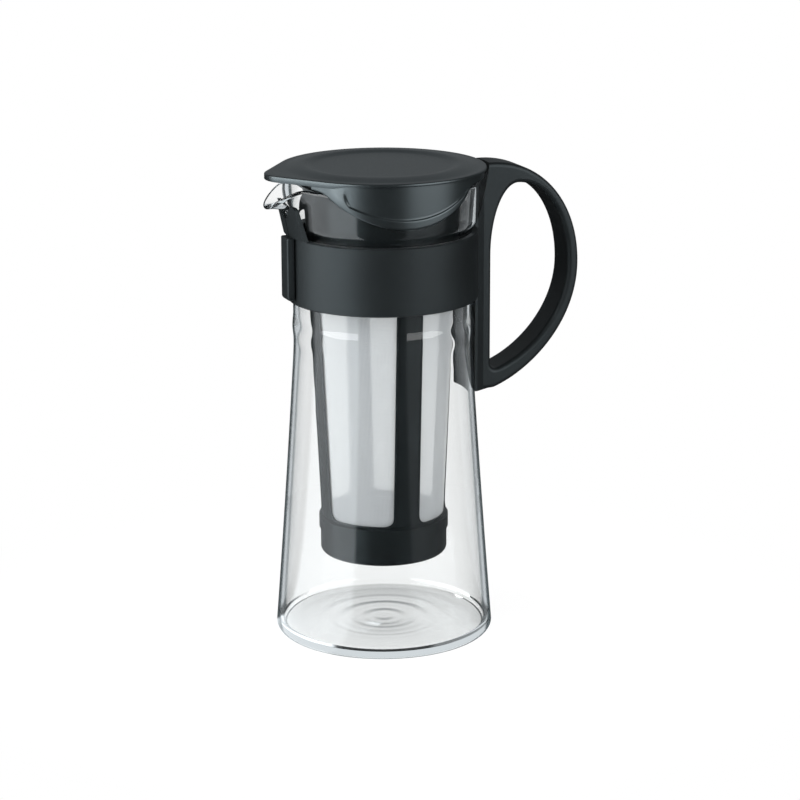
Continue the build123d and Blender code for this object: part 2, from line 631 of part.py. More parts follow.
# Strainer frame: hanging flange, solid upper collar, four ribs and the lower ring
with BuildPart() as strainer_frame:
    with BuildSketch(Plane.XZ):
        with BuildLine():
            flange_neck_r = FLANGE_R - FLANGE_NECK_WIDTH
            cone_top = (CONE_TOP_R, CONE_TOP_Z)
            bore_top = (CONE_TOP_R - CONE_WALL, CONE_TOP_Z)
            flange_under = (flange_neck_r, RIM_Z)
            flange_inner = (flange_neck_r - CONE_WALL, FLANGE_TOP_Z)
            ring_shoulder_z = RING_TOP_Z - RING_STEP / 2
            Polyline(
                bore_top,
                (RING_BORE_R, ring_shoulder_z),
                (RING_BORE_R, CONE_BOTTOM_Z),
                (RING_R, CONE_BOTTOM_Z),
                (RING_R, ring_shoulder_z),
                (cone_radius(RING_TOP_Z), RING_TOP_Z),
                cone_top,
            )
            Spline(cone_top, flange_under, tangents=[(0.05, 1), (1, 0.4)])
            Polyline(flange_under, (FLANGE_R, RIM_Z), (FLANGE_R, FLANGE_TOP_Z), flange_inner)
            Spline(flange_inner, bore_top, tangents=[(-1, -0.6), (-0.05, -1)])
        make_face()
    revolve(axis=Axis.Z)
    with BuildSketch(Plane.XY.offset(RIM_Z - 1)):
        with Locations((FLANGE_GAP_X, 0)):
            Rectangle(FLANGE_R, 2 * FLANGE_R, align=(Align.MAX, Align.CENTER))
        Circle(CONE_TOP_R + 0.6, mode=Mode.SUBTRACT)
    extrude(amount=FLANGE_THICK + 2, mode=Mode.SUBTRACT)
    for quarter in range(WINDOW_COUNT):
        with BuildSketch(facing_plane(45 + 360 / WINDOW_COUNT * quarter)):
            with BuildLine():
                Polyline(*window_corners(), close=True)
            make_face()
            fillet(vertices(), WINDOW_CORNER)
        extrude(amount=WINDOW_REACH, mode=Mode.SUBTRACT)


# Strainer cap: cup with a spigot that plugs into the lower ring
with BuildPart() as strainer_cap:
    with BuildSketch(Plane.XZ):
        with BuildLine():
            Polyline(
                (0, CAP_BOTTOM_Z),
                (CAP_R, CAP_BOTTOM_Z),
                (CAP_R, CONE_BOTTOM_Z),
                (SPIGOT_R, CONE_BOTTOM_Z),
                (SPIGOT_R, CONE_BOTTOM_Z + SPIGOT_HEIGHT),
                (SPIGOT_R - SPIGOT_WALL, CONE_BOTTOM_Z + SPIGOT_HEIGHT),
                (SPIGOT_R - SPIGOT_WALL, CAP_BOTTOM_Z + CAP_WALL),
                (0, CAP_BOTTOM_Z + CAP_WALL),
                close=True,
            )
        make_face()
        fillet(vertices().group_by(Axis.Z)[0].sort_by(Axis.X)[-1], CAP_EDGE)
    revolve(axis=Axis.Z)


os.makedirs("parts", exist_ok=True)
save_node(glass_jug.part, "glass_jug")
save_node(handle_band.part, "handle_band")
save_node(band_clasp.part, "band_clasp")
save_node(lid.part, "lid")
save_node(strainer_frame.part, "strainer_frame")
save_node(strainer_cap.part, "strainer_cap")

# Mesh panels: one thin woven sheet in each window of the basket
for quarter in range(WINDOW_COUNT):
    with BuildPart() as mesh_panel:
        with BuildSketch(Plane.XZ):
            with BuildLine():
                low_r = CONE_BOTTOM_R - MESH_DEPTH
                high_r = CONE_TOP_R - MESH_DEPTH
                Polyline(
                    (low_r, CONE_BOTTOM_Z),
                    (high_r, CONE_TOP_Z),
                    (high_r - MESH_THICK, CONE_TOP_Z),
                    (low_r - MESH_THICK, CONE_BOTTOM_Z),
                    close=True,
                )
            make_face()
        revolve(axis=Axis.Z)
        with BuildSketch(facing_plane(45 + 360 / WINDOW_COUNT * quarter)):
            with BuildLine():
                Polyline(*window_corners(), close=True)
            make_face()
            fillet(vertices(), WINDOW_CORNER)
        extrude(amount=WINDOW_REACH, mode=Mode.INTERSECT)
    save_node(mesh_panel.part, f"mesh_panel_{quarter + 1}")
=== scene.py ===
import logging
from collections.abc import Callable, Sequence
from dataclasses import dataclass, field
from enum import Enum
from functools import partial
from math import acos, atan2, cos, pi, radians, sin, sqrt, tan

import bmesh
import bpy
import numpy as np
from bpy.types import Material, Node, NodeSocket, NodeTree, Object
from mathutils import Matrix, Vector
from numpy.typing import NDArray


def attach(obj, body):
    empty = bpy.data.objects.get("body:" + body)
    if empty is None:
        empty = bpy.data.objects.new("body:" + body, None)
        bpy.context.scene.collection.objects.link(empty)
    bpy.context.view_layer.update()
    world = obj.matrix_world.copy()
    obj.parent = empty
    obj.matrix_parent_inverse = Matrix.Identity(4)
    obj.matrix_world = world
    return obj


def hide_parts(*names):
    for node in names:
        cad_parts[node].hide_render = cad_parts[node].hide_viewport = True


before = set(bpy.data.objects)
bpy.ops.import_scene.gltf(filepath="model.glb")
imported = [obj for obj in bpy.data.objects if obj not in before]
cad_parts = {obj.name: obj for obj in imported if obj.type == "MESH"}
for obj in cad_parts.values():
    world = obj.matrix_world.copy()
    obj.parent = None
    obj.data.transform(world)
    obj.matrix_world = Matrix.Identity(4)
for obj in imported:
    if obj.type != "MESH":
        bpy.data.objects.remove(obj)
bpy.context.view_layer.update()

LOG = logging.getLogger("cold_brew_maker")
MM = 0.001
Points = NDArray[np.float64]
Faces = NDArray[np.int64]
Values = Points | float
Spot = Points | tuple[float, ...]
Feed = Node | NodeSocket
AddNode = Callable[..., Node]


class Body(Enum):
    """The moving bodies that the new pieces ride on."""

    JUG = "jug"
    CLASP = "clasp"
    STRAINER = "strainer"
    LID = "lid"


class Slot(Enum):
    """The finish slots of the coffee maker."""

    GLASS = "jug_glass"
    BAND = "band_plastic"
    LID = "lid_plastic"
    BASKET = "basket_plastic"
    CLOTH = "mesh_cloth"


# ---------------------------- colour and nodes

# Settings of nodes that add, multiply or take the larger value, and of a range with soft ends.
ADD = {"operation": "ADD"}
MULTIPLY = {"operation": "MULTIPLY"}
LARGER = {"operation": "MAXIMUM"}
SMOOTH = {"interpolation_type": "SMOOTHSTEP"}
# Tests of how often a ray has bounced, with limits that lie between whole numbers.
NEVER = {"operation": "LESS_THAN", 1: 0.5}
TWICE_OR_MORE = {"operation": "GREATER_THAN", 1: 1.5}
ONCE_OR_TWICE = {"operation": "COMPARE", 1: 1.5, 2: 0.6}


def linear(code: str) -> tuple[float, float, float, float]:
    """Turn an sRGB hex colour into linear RGBA.

    Args:
        code: colour such as "#1E2224".

    Returns:
        Linear red, green, blue and an alpha of 1.
    """
    raw = np.array([int(code[place:place + 2], 16) for place in (1, 3, 5)]) / 255
    value = np.where(raw <= 0.04045, raw / 12.92, ((raw + 0.055) / 1.055) ** 2.4)
    return (float(value[0]), float(value[1]), float(value[2]), 1.0)


def add_node(tree: NodeTree, kind: str, settings: dict | None = None, links: dict | None = None) -> Node:
    """Add one node with its settings and its incoming links.

    Args:
        tree: node tree that gets the node.
        kind: Blender's type name of the node, without "ShaderNode".
        settings: attribute names, socket names or socket numbers with their values.
        links: socket names or numbers with the outputs that feed them. A node stands for its first output.

    Returns:
        The new node.
    """
    node = tree.nodes.new("ShaderNode" + kind)
    for name, value in (settings or {}).items():
        if isinstance(name, str) and hasattr(node, name):
            setattr(node, name, value)
        else:
            node.inputs[name].default_value = value
    for name, source in (links or {}).items():
        tree.links.new(source.outputs[0] if isinstance(source, Node) else source, node.inputs[name])
    return node


def new_material(name: str) -> tuple[Material, AddNode]:
    """Make an empty node material.

    Args:
        name: name of the material.

    Returns:
        The material, and add_node for its node tree.
    """
    material = bpy.data.materials.new(name)
    material.use_nodes = True
    material.node_tree.nodes.clear()
    return material, partial(add_node, material.node_tree)


def ray_choices(add: AddNode) -> tuple[Feed, Feed, Feed, Feed]:
    """Tell rays apart in the floor or the world.

    Formula: the camera sees what its own rays meet and what rays meet that only went through clear glass. A
    glass wall has mirrored a ray within itself where the ray crossed one or two of its faces, and guides it
    along where the ray was mirrored twice or more as well.

    Args:
        add: add_node for the floor's or the world's tree.

    Returns:
        Four outputs that are 1 for what the camera sees, for what a glossy surface mirrors, for what a glass
        wall mirrors within itself, and for what it guides along.
    """
    ray = add("LightPath").outputs
    bounces = add("Math", ADD, {0: ray["Glossy Depth"], 1: ray["Diffuse Depth"]})
    straight_on = add("Math", NEVER, {0: bounces})
    through = add("Math", MULTIPLY, {0: ray["Is Transmission Ray"], 1: straight_on})
    seen = add("Math", LARGER, {0: ray["Is Camera Ray"], 1: through})
    within = add("Math", ONCE_OR_TWICE, {0: ray["Transmission Depth"]})
    often = add("Math", TWICE_OR_MORE, {0: ray["Glossy Depth"]})
    guided = add("Math", MULTIPLY, {0: within, 1: often})
    return seen, ray["Is Glossy Ray"], within, guided


# ---------------------------- finishes


@dataclass(frozen=True)
class MouldedPolypropylene:
    """Polypropylene, injection moulded in a spark-eroded tool: satin, with a very fine even grain.

    Its tone changes slightly along the way that the plastic flowed. The tool's grain is about 0.05 mm and is
    drawn at grain_mm, so that it shows at all.
    """

    name: str
    base: str
    cloud: str
    roughness: float
    specular: float
    ior: float = 1.49
    sheen: str = "#DEEEF4"
    flow_mm: float = 26.0
    flow_low: float = 0.35
    flow_high: float = 0.7
    grain_mm: float = 0.35
    grain_low: float = 0.3
    grain_high: float = 0.7
    grain_depth_mm: float = 0.004
    grain_strength: float = 0.35
    smoother: float = 0.04
    rougher: float = 0.05

    def make(self) -> Material:
        """Build the material: cloudy colour, and grain in both the gloss and the relief.

        Returns:
            The finished material.
        """
        material, add = new_material(self.name)
        place = add("TexCoord").outputs["Object"]
        flow = add("TexNoise", {"Scale": 1 / (self.flow_mm * MM), "Detail": 3.0, "Roughness": 0.55},
                   {"Vector": place})
        grain = add("TexNoise", {"Scale": 1 / (self.grain_mm * MM), "Detail": 2.0, "Roughness": 0.6},
                    {"Vector": place})
        tone = add("MapRange", SMOOTH | {1: self.flow_low, 2: self.flow_high}, {0: flow})
        colour = add("Mix", {"data_type": "RGBA", 6: linear(self.base), 7: linear(self.cloud)}, {0: tone})
        smooth, rough = self.roughness - self.smoother, self.roughness + self.rougher
        gloss = add("MapRange", SMOOTH | {1: self.grain_low, 2: self.grain_high, 3: smooth, 4: rough},
                    {0: grain})
        bump = add("Bump", {"Strength": self.grain_strength, "Distance": self.grain_depth_mm * MM},
                   {"Height": grain})
        surface = add("BsdfPrincipled", {"IOR": self.ior, "Specular IOR Level": self.specular,
                                         "Specular Tint": linear(self.sheen)},
                      {"Base Color": colour.outputs[2], "Roughness": gloss, "Normal": bump})
        add("OutputMaterial", {}, {"Surface": surface})
        return material


@dataclass(frozen=True)
class BlownBorosilicate:
    """Borosilicate glass, blown in a mould: clear, glossy and slightly wavy, with painted shade where seen
    edge on.

    The painted shade starts a little sooner on the heavy foot, where its wall turns inward.
    """

    name: str = "borosilicate_glass_blown"
    clear: str = "#FEFFFF"
    # painted shade: the dark colour that the glass is tinted where it is seen edge on
    edge: str = "#3A4244"
    pane: str = "#FAFBFB"
    ior: float = 1.473
    wave_mm: float = 30.0
    wave_depth_mm: float = 0.05
    wave_strength: float = 0.25
    # Where the painted edge shade starts and where it is full, by Layer Weight's facing, and how much sooner
    # it starts low on the foot.
    edge_shade_low: float = 0.74
    edge_shade_high: float = 0.81
    foot_shade_low_mm: float = 2.0
    foot_shade_high_mm: float = 9.0
    foot_shade_shift: float = 0.1

    def make(self) -> Material:
        """Build the material.

        Light that falls on what is inside passes straight through, so the shader is plain see-through for
        shadow and diffuse rays. So it is for light that a wall would guide along by reflection on reflection.

        Returns:
            The finished material.
        """
        material, add = new_material(self.name)
        place = add("TexCoord").outputs["Object"]
        wave = add("TexNoise", {"Scale": 1 / (self.wave_mm * MM), "Detail": 1.0, "Roughness": 0.4},
                   {"Vector": place})
        bump = add("Bump", {"Strength": self.wave_strength, "Distance": self.wave_depth_mm * MM},
                   {"Height": wave})
        # Painted shade: the glass is tinted dark where Layer Weight says it is seen edge on, and sooner low
        # on the foot.
        facing = add("LayerWeight").outputs["Facing"]
        height = add("SeparateXYZ", {}, {0: place}).outputs["Z"]
        foot = add("MapRange", SMOOTH | {1: self.foot_shade_low_mm * MM, 2: self.foot_shade_high_mm * MM,
                                         3: self.foot_shade_shift, 4: 0.0}, {0: height})
        edge_shade_share = add("Math", ADD, {0: facing, 1: foot})
        edge_shade_share = add("MapRange", SMOOTH | {1: self.edge_shade_low, 2: self.edge_shade_high}, {0: edge_shade_share})
        clear_to_shade = add("Mix", {"data_type": "RGBA", 6: linear(self.clear), 7: linear(self.edge)}, {0: edge_shade_share})
        glass = add("BsdfPrincipled", {"Transmission Weight": 1.0, "IOR": self.ior, "Roughness": 0.0},
                    {"Base Color": clear_to_shade.outputs[2], "Normal": bump})
        pane = add("BsdfTransparent", {"Color": linear(self.pane)})
        ray = add("LightPath").outputs
        guided = add("Math", TWICE_OR_MORE, {0: ray["Glossy Depth"]})
        plain = add("Math", LARGER, {0: ray["Is Shadow Ray"], 1: ray["Is Diffuse Ray"]})
        plain = add("Math", LARGER, {0: plain, 1: guided})
        surface = add("MixShader", {}, {0: plain, 1: glass, 2: pane})
        add("OutputMaterial", {}, {"Surface": surface})
        return material


@dataclass(frozen=True)
class WovenPolyester:
    """Polyester monofilament, woven: a white sieve cloth that light shines through.

    The real threads are 0.2 mm apart. They are drawn pitch_mm apart, so that the weave shows close up.
    """

    name: str = "polyester_mesh_woven"
    thread: str = "#D0D4DA"
    # painted shade: the colour of the weave where its threads lie low
    shade: str = "#C4CAD1"
    glow: str = "#F2EFE8"
    shine_through: float = 0.45
    roughness: float = 0.6
    specular: float = 0.3
    pitch_mm: float = 0.55
    waver: float = 0.15
    relief_mm: float = 0.05
    relief_strength: float = 0.3
    hole_low: float = 0.12
    hole_high: float = 0.4
    hole_cover: float = 0.07
    thread_cover: float = 0.5
    phase_per_unit: float = 20.0

    def make(self) -> Material:
        """Build the material.

        Formula: the height of warp and weft are two crossed waves in the cloth's own millimetres, and the
        holes are where both are low. Blender's wave turns by phase_per_unit for each unit of its scale.

        Returns:
            The finished material.
        """
        material, add = new_material(self.name)
        cloth = add("UVMap", {"uv_map": "cloth_mm"})
        wave = {"wave_type": "BANDS", "Scale": 2 * pi / (self.phase_per_unit * self.pitch_mm),
                "Distortion": self.waver, "Detail": 1.0}
        warp = add("TexWave", wave | {"bands_direction": "X"}, {"Vector": cloth})
        weft = add("TexWave", wave | {"bands_direction": "Y"}, {"Vector": cloth})
        height = add("Math", LARGER, {0: warp.outputs[1], 1: weft.outputs[1]})
        # Painted shade: the weave is darker where its threads lie low.
        tone = add("Mix", {"data_type": "RGBA", 6: linear(self.shade), 7: linear(self.thread)}, {0: height})
        bump = add("Bump", {"Strength": self.relief_strength, "Distance": self.relief_mm * MM},
                   {"Height": height})
        front = add("BsdfPrincipled", {"Roughness": self.roughness, "Specular IOR Level": self.specular},
                    {"Base Color": tone.outputs[2], "Normal": bump})
        through = add("BsdfTranslucent", {"Color": linear(self.glow)})
        thread = add("MixShader", {0: self.shine_through}, {1: front, 2: through})
        hole = add("BsdfTransparent", {"Color": linear("#FFFFFF")})
        shut = add("MapRange", SMOOTH | {1: self.hole_low, 2: self.hole_high, 3: self.hole_cover,
                                         4: self.thread_cover}, {0: height})
        surface = add("MixShader", {}, {0: shut, 1: hole, 2: thread})
        add("OutputMaterial", {}, {"Surface": surface})
        return material


# ---------------------------- curves and surfaces, in millimetres


def unit(ways: Points) -> Points:
    """Scale each vector to length 1."""
    return ways / np.linalg.norm(ways, axis=-1, keepdims=True)


def hermite(start: Spot, end: Spot, leave: Spot, arrive: Spot, count: int) -> Points:
    """Points of a smooth cubic between two points.

    Formula: both directions are scaled to the chord's length, and each point is the cubic Hermite blend of
    the two ends and the two directions.

    Args:
        start: first point.
        end: last point.
        leave: direction at the start.
        arrive: direction at the end.
        count: number of points, both ends among them.

    Returns:
        Points of shape (count, 2).
    """
    start, end = np.asarray(start, float), np.asarray(end, float)
    chord = np.linalg.norm(end - start)
    leave, arrive = unit(np.asarray(leave, float)) * chord, unit(np.asarray(arrive, float)) * chord
    t = np.linspace(0, 1, count)[:, None]
    return ((2 * t**3 - 3 * t**2 + 1) * start + (t**3 - 2 * t**2 + t) * leave
            + (3 * t**2 - 2 * t**3) * end + (t**3 - t**2) * arrive)


def arc_through(start: Spot, middle: Spot, end: Spot, count: int) -> Points:
    """Points of the circular arc through three points.

    Formula: the centre is equally far from all three, and the angle runs evenly from the first to the last
    on the middle point's side.

    Args:
        start: first point.
        middle: any point between.
        end: last point.
        count: number of points.

    Returns:
        Points of shape (count, 2).
    """
    start, middle, end = (np.asarray(point, float) for point in (start, middle, end))
    matrix = 2 * np.stack([middle - start, end - start])
    centre = np.linalg.solve(matrix, np.array([middle @ middle - start @ start, end @ end - start @ start]))
    first, _, last = np.unwrap([atan2(*(point - centre)[::-1]) for point in (start, middle, end)])
    turn = np.linspace(first, last, count)
    return centre + np.hypot(*(start - centre)) * np.stack([np.cos(turn), np.sin(turn)], axis=1)


def straight(start: Spot, end: Spot, count: int) -> Points:
    """Evenly spaced points from start to end, both among them."""
    return np.linspace(np.asarray(start, float), np.asarray(end, float), count)


def join(*runs: Points) -> Points:
    """Put runs of points end to end.

    Args:
        *runs: the runs, each of shape (points, 2).

    Returns:
        All points, without a run's first point where it repeats the last one.
    """
    parts = [runs[0]]
    for run in runs[1:]:
        parts.append(run[1:] if np.allclose(run[0], parts[-1][-1]) else run)
    return np.concatenate(parts)


def smooth_step(value: Values) -> Points:
    """Rise from 0 to 1 along 3t² - 2t³ while value goes from 0 to 1, and stay flat outside."""
    t = np.clip(value, 0, 1)
    return t * t * (3 - 2 * t)


def draw_in(radius: float, depth: Values) -> Points:
    """How far a circle has left its tangent at a depth along it: r - sqrt(r² - d²), with d kept in 0..r."""
    return radius - np.sqrt(radius**2 - np.clip(depth, 0, radius) ** 2)


def round_polygon(corners: Sequence[Spot], radii: Sequence[float], count: int) -> Points:
    """Closed outline with rounded corners.

    Formula: each corner becomes the quadratic curve from a point before it to a point after it, at the
    distance that a circle of its radius would touch.

    Args:
        corners: corner points in order.
        radii: rounding of each corner.
        count: points of each rounding.

    Returns:
        Outline points, first not repeated.
    """
    corners, radii = np.asarray(corners, float), np.asarray(radii, float)[:, None]
    before, after = unit(np.roll(corners, 1, axis=0) - corners), unit(np.roll(corners, -1, axis=0) - corners)
    half = np.arccos(np.clip(np.sum(before * after, axis=1), -1, 1))[:, None] / 2
    reach = radii / np.tan(half)
    t = np.linspace(0, 1, count)[None, :, None]
    low, high = (corners + before * reach)[:, None], (corners + after * reach)[:, None]
    curve = (1 - t) ** 2 * low + 2 * t * (1 - t) * corners[:, None] + t**2 * high
    return curve.reshape(-1, 2)


def grid_quads(rows: int, columns: int, wrap_rows: bool = False, wrap_columns: bool = False) -> Faces:
    """Corner numbers of the four-sided faces of a grid of points.

    Args:
        rows: number of rows.
        columns: number of columns.
        wrap_rows: whether the last row joins the first.
        wrap_columns: whether the last column joins the first.

    Returns:
        Whole numbers of shape (faces, 4).
    """
    row, column = np.meshgrid(np.arange(rows if wrap_rows else rows - 1),
                              np.arange(columns if wrap_columns else columns - 1), indexing="ij")
    next_row, next_column = (row + 1) % rows, (column + 1) % columns
    return np.stack([row * columns + column, row * columns + next_column,
                     next_row * columns + next_column, next_row * columns + column], axis=-1).reshape(-1, 4)


def turned(section: Points, angles: Points) -> Points:
    """Carry (radius, height) round the Z axis: x = r cos a, y = r sin a, z = z."""
    r, z = section[..., 0], section[..., 1]
    return np.stack([r * np.cos(angles), r * np.sin(angles), z + 0 * angles], axis=-1)


def even_turn(count: int) -> Points:
    """Angles of a full turn, the last step left out."""
    return np.arange(count) * 2 * pi / count


def lifted(line: Points, height: Values) -> Points:
    """Give each flat point (x, y) its height."""
    return np.column_stack([line, np.broadcast_to(height, len(line))])


def new_piece(name: str, points: Points, faces: list[list[int]], finish: Material) -> Object:
    """Make a smooth mesh object at the origin and link it to the scene.

    Args:
        name: name of the object and its mesh.
        points: corners of shape (points, 3), in metres.
        faces: corner numbers of each face.
        finish: material of the whole piece.

    Returns:
        The object.
    """
    mesh = bpy.data.meshes.new(name)
    mesh.from_pydata(points.tolist(), [], faces)
    mesh.polygons.foreach_set("use_smooth", np.ones(len(mesh.polygons), dtype=bool))
    mesh.materials.append(finish)
    piece = bpy.data.objects.new(name, mesh)
    bpy.context.scene.collection.objects.link(piece)
    return piece


@dataclass
class Shell:
    """A surface of one or more point grids that becomes one mesh piece.

    The weld and the sliver are the lengths, in metres, under which points merge and edges vanish.
    """

    name: str
    body: Body
    slot: Slot
    finish: Material
    replaces: tuple[str, ...] = ()
    crease: float = 38.0
    weld: float = 2e-7
    sliver: float = 1e-7
    points: list[Points] = field(default_factory=list)
    quads: list[Faces] = field(default_factory=list)

    def add(self, grid: Points, wrap_rows: bool = False, wrap_columns: bool = False) -> None:
        """Add a grid of points.

        Args:
            grid: points of shape (rows, columns, 3), in millimetres.
            wrap_rows: whether the last row joins the first.
            wrap_columns: whether the last column joins the first.
        """
        start = sum(map(len, self.points))
        self.points.append(grid.reshape(-1, 3))
        self.quads.append(grid_quads(*grid.shape[:2], wrap_rows, wrap_columns) + start)

    def close_ends(self, grid: Points) -> None:
        """Close both ends of a wall with a fan of faces from the middle of each end section.

        Args:
            grid: the wall's points, whose first and last columns are the end sections.
        """
        for ring in (grid[:, 0], grid[:, -1]):
            self.add(np.stack([ring, np.broadcast_to(ring.mean(axis=0), ring.shape)]), wrap_columns=True)

    def finished(self) -> Object:
        """Make the mesh object, weld its seams and poles, turn its faces outward and put it on its body.

        Returns:
            The piece, at the origin.
        """
        quads = np.concatenate(self.quads).tolist()
        piece = new_piece(self.name, np.concatenate(self.points) * MM, quads, self.finish)
        mesh = piece.data
        work = bmesh.new()
        work.from_mesh(mesh)
        bmesh.ops.remove_doubles(work, verts=work.verts, dist=self.weld)
        bmesh.ops.dissolve_degenerate(work, edges=work.edges, dist=self.sliver)
        bmesh.ops.recalc_face_normals(work, faces=work.faces)
        if work.calc_volume(signed=True) < 0:
            bmesh.ops.reverse_faces(work, faces=work.faces)
        work.to_mesh(mesh)
        work.free()
        mesh.set_sharp_from_angle(angle=radians(self.crease))
        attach(piece, self.body.value)
        if self.replaces:
            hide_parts(*self.replaces)
        LOG.info("%s: %d faces on %s", self.name, len(mesh.polygons), self.body.value)
        return piece


def dress_node(name: str, finish: Material, slot: Slot) -> None:
    """Give a CAD node its finish in every material slot.

    Args:
        name: name of the node.
        finish: its material.
        slot: finish slot that it belongs to; not used.
    """
    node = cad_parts[name]
    if not node.data.materials:
        node.data.materials.append(finish)
    for place in node.material_slots:
        place.material = finish
    LOG.info("%s keeps its CAD shape", name)


# ---------------------------- glass jug


@dataclass
class GlassJug:
    """Blown glass jug: flat floor, narrow waist with a bead, widening collar and a pouring lip.

    Sizes are in millimetres and angles in degrees. A lean is a wall's sideways run for each unit of rise.
    """

    finish: Material
    foot_r: float = 45.2
    foot_corner: float = 2.4
    foot_lean: float = 0.08
    rest_r: float = 43.3
    rest_width: float = 5.0
    punt_depth: float = 0.3
    pad_r: float = 6.0
    mid_r: float = 40.75
    mid_z: float = 60.0
    neck_r: float = 36.6
    neck_z: float = 116.0
    neck_ease: float = 0.3
    neck_inner_rise: float = 3.0
    wall_lean: float = 0.06
    waist_z: float = 124.0
    bead_height: float = 0.4
    bead_length: float = 12.0
    flare_z: float = 169.6
    flare_inner_rise: float = 0.4
    collar_r: float = 38.8
    collar_z: float = 173.5
    rim_r: float = 39.7
    rim_z: float = 190.0
    wall: float = 1.8
    rim_wall: float = 2.0
    floor: float = 2.6
    floor_corner: float = 2.8
    floor_inset: float = 0.5
    floor_lean: float = 0.07
    ring_rise: float = 0.14
    ring_step: float = 9.5
    ring_r: float = 6.0
    ring_reach: float = 31.0
    ring_fade: float = 12.0
    lip_half_angle: float = 21.0
    lip_reach: float = 10.2
    lip_drop: float = 6.6
    lip_power: float = 1.2
    lip_curl: float = 6.3
    lip_droop: float = 0.9
    lip_sweep: float = 72.0
    lip_root: float = 1.0
    straight_share: float = 0.25

    def collar_radius(self, z: Values) -> Values:
        """Outside radius of the collar, which grows evenly up to the rim."""
        widening = self.rim_r - self.collar_r
        return self.collar_r + widening * (z - self.collar_z) / (self.rim_z - self.collar_z)

    def outside(self) -> Points:
        """Outside profile from the middle of the underside up to the collar's root.

        Formula: a chain of straight runs, cubics, and arcs for the recess and for the body.

        Returns:
            Points (radius, height).
        """
        up = (0, 1)
        pad = (self.pad_r, 0)
        rest_in = self.rest_r - self.rest_width
        recess = ((self.pad_r + rest_in) / 2, self.punt_depth)
        corner = (self.foot_r, self.foot_corner)
        neck = (self.neck_r + self.neck_ease, self.neck_z)
        waist = (self.neck_r, self.waist_z)
        bead = (self.neck_r + self.bead_height, self.waist_z + self.bead_length / 2)
        above = (self.neck_r, self.waist_z + self.bead_length)
        flare = (self.neck_r, self.flare_z)
        root_z = self.collar_z + self.lip_root
        return join(
            straight((0, 0), pad, count=3),
            arc_through(pad, recess, (rest_in, 0), count=24),
            straight((rest_in, 0), (self.rest_r, 0), count=4),
            hermite((self.rest_r, 0), corner, (1, 0), (-self.foot_lean, 1), count=14),
            arc_through(corner, (self.mid_r, self.mid_z), neck, count=44),
            hermite(neck, waist, (-self.wall_lean, 1), up, count=6),
            hermite(waist, bead, up, up, count=8),
            hermite(bead, above, up, up, count=8),
            straight(above, flare, count=8),
            hermite(flare, (self.collar_radius(root_z), root_z), up, (self.wall_lean, 1), count=9),
        )

    def inside(self) -> Points:
        """Inside profile from the collar's root down to the middle of the floor.

        Formula: a cubic, a straight neck, an arc, a cubic round the floor's corner and the ringed floor.

        Returns:
            Points (radius, height).
        """
        root_z = self.collar_z + self.lip_root
        root = (self.collar_radius(root_z) - self.rim_wall, root_z)
        flare = (self.neck_r - self.wall, self.flare_z + self.flare_inner_rise)
        neck = (self.neck_r - self.wall, self.neck_z + self.neck_inner_rise)
        inner_r = self.foot_r - self.wall
        corner = (inner_r - self.floor_inset, self.floor + self.floor_corner)
        level = (inner_r - self.floor_corner, self.floor)
        return join(
            hermite(root, flare, (-self.wall_lean, -1), (0, -1), count=8),
            straight(flare, neck, count=14),
            arc_through(neck, (self.mid_r - self.wall, self.mid_z), corner, count=44),
            hermite(corner, level, (self.floor_lean, -1), (-1, 0), count=12),
            self.floor_rings(straight(level, (0, self.floor), count=90)),
        )

    def floor_rings(self, level: Points) -> Points:
        """Raise the blown floor in soft rings round the middle.

        Formula: the rise is a cosine of the radius that fades outward.

        Args:
            level: points (radius, height) of the level floor.

        Returns:
            The same points with their rise.
        """
        r = level[:, 0]
        fade = smooth_step((self.ring_reach - r) / self.ring_fade)
        rise = self.ring_rise * fade * (0.5 + 0.5 * np.cos(2 * pi * (r - self.ring_r) / self.ring_step))
        return np.stack([r, level[:, 1] + rise], axis=1)

    def collar(self, bulge: Points) -> Points:
        """Section through the collar wall for each angle.

        Formula: the outside rises straight from the collar's root to where the lip starts to curl, then
        follows a quarter-like sweep outward whose reach and drop grow with the bulge. The inside is the
        outside moved by the wall's thickness along its normal, and the rim is a half circle between them.

        Args:
            bulge: how far the lip is pulled out at each angle, 0 to 1.

        Returns:
            Radius and height of shape (rows, angles, 2), from the outside root over the rim to the inside.
        """
        share = np.linspace(0, 1, 27)[:, None]
        pull = bulge[None, :]
        slope = (self.rim_r - self.collar_r) / (self.rim_z - self.collar_z)
        sweep = radians(self.lip_sweep)
        root_z = self.collar_z + self.lip_root
        edge_z = self.rim_z - self.rim_wall / 2 * (1 + slope) - self.lip_drop * pull**self.lip_power
        curl_z = edge_z - self.lip_curl * sin(sweep)
        reach = self.lip_reach * pull / (1 - cos(sweep))
        part = np.clip((share - self.straight_share) / (1 - self.straight_share), 0, 1)
        straight_z = root_z + (curl_z - root_z) * np.clip(share / self.straight_share, 0, 1)
        z = straight_z + self.lip_curl * np.sin(sweep * part) - self.lip_droop * pull * part**4
        r = self.collar_radius(z) + reach * (1 - np.cos(sweep * part))
        outside = np.stack([r, z], axis=-1)
        along = unit(np.gradient(outside, axis=0))
        inside = outside + np.stack([-along[..., 1], along[..., 0]], axis=-1) * self.rim_wall
        inside[0] = outside[0] - np.array([self.rim_wall, 0.0])
        middle = (outside[-1] + inside[-1]) / 2
        turn = np.linspace(0, pi, 11)[1:-1, None, None]
        crown = middle + np.cos(turn) * (outside[-1] - middle) + np.sin(turn) * along[-1] * self.rim_wall / 2
        return np.concatenate([outside, crown, inside[::-1]])

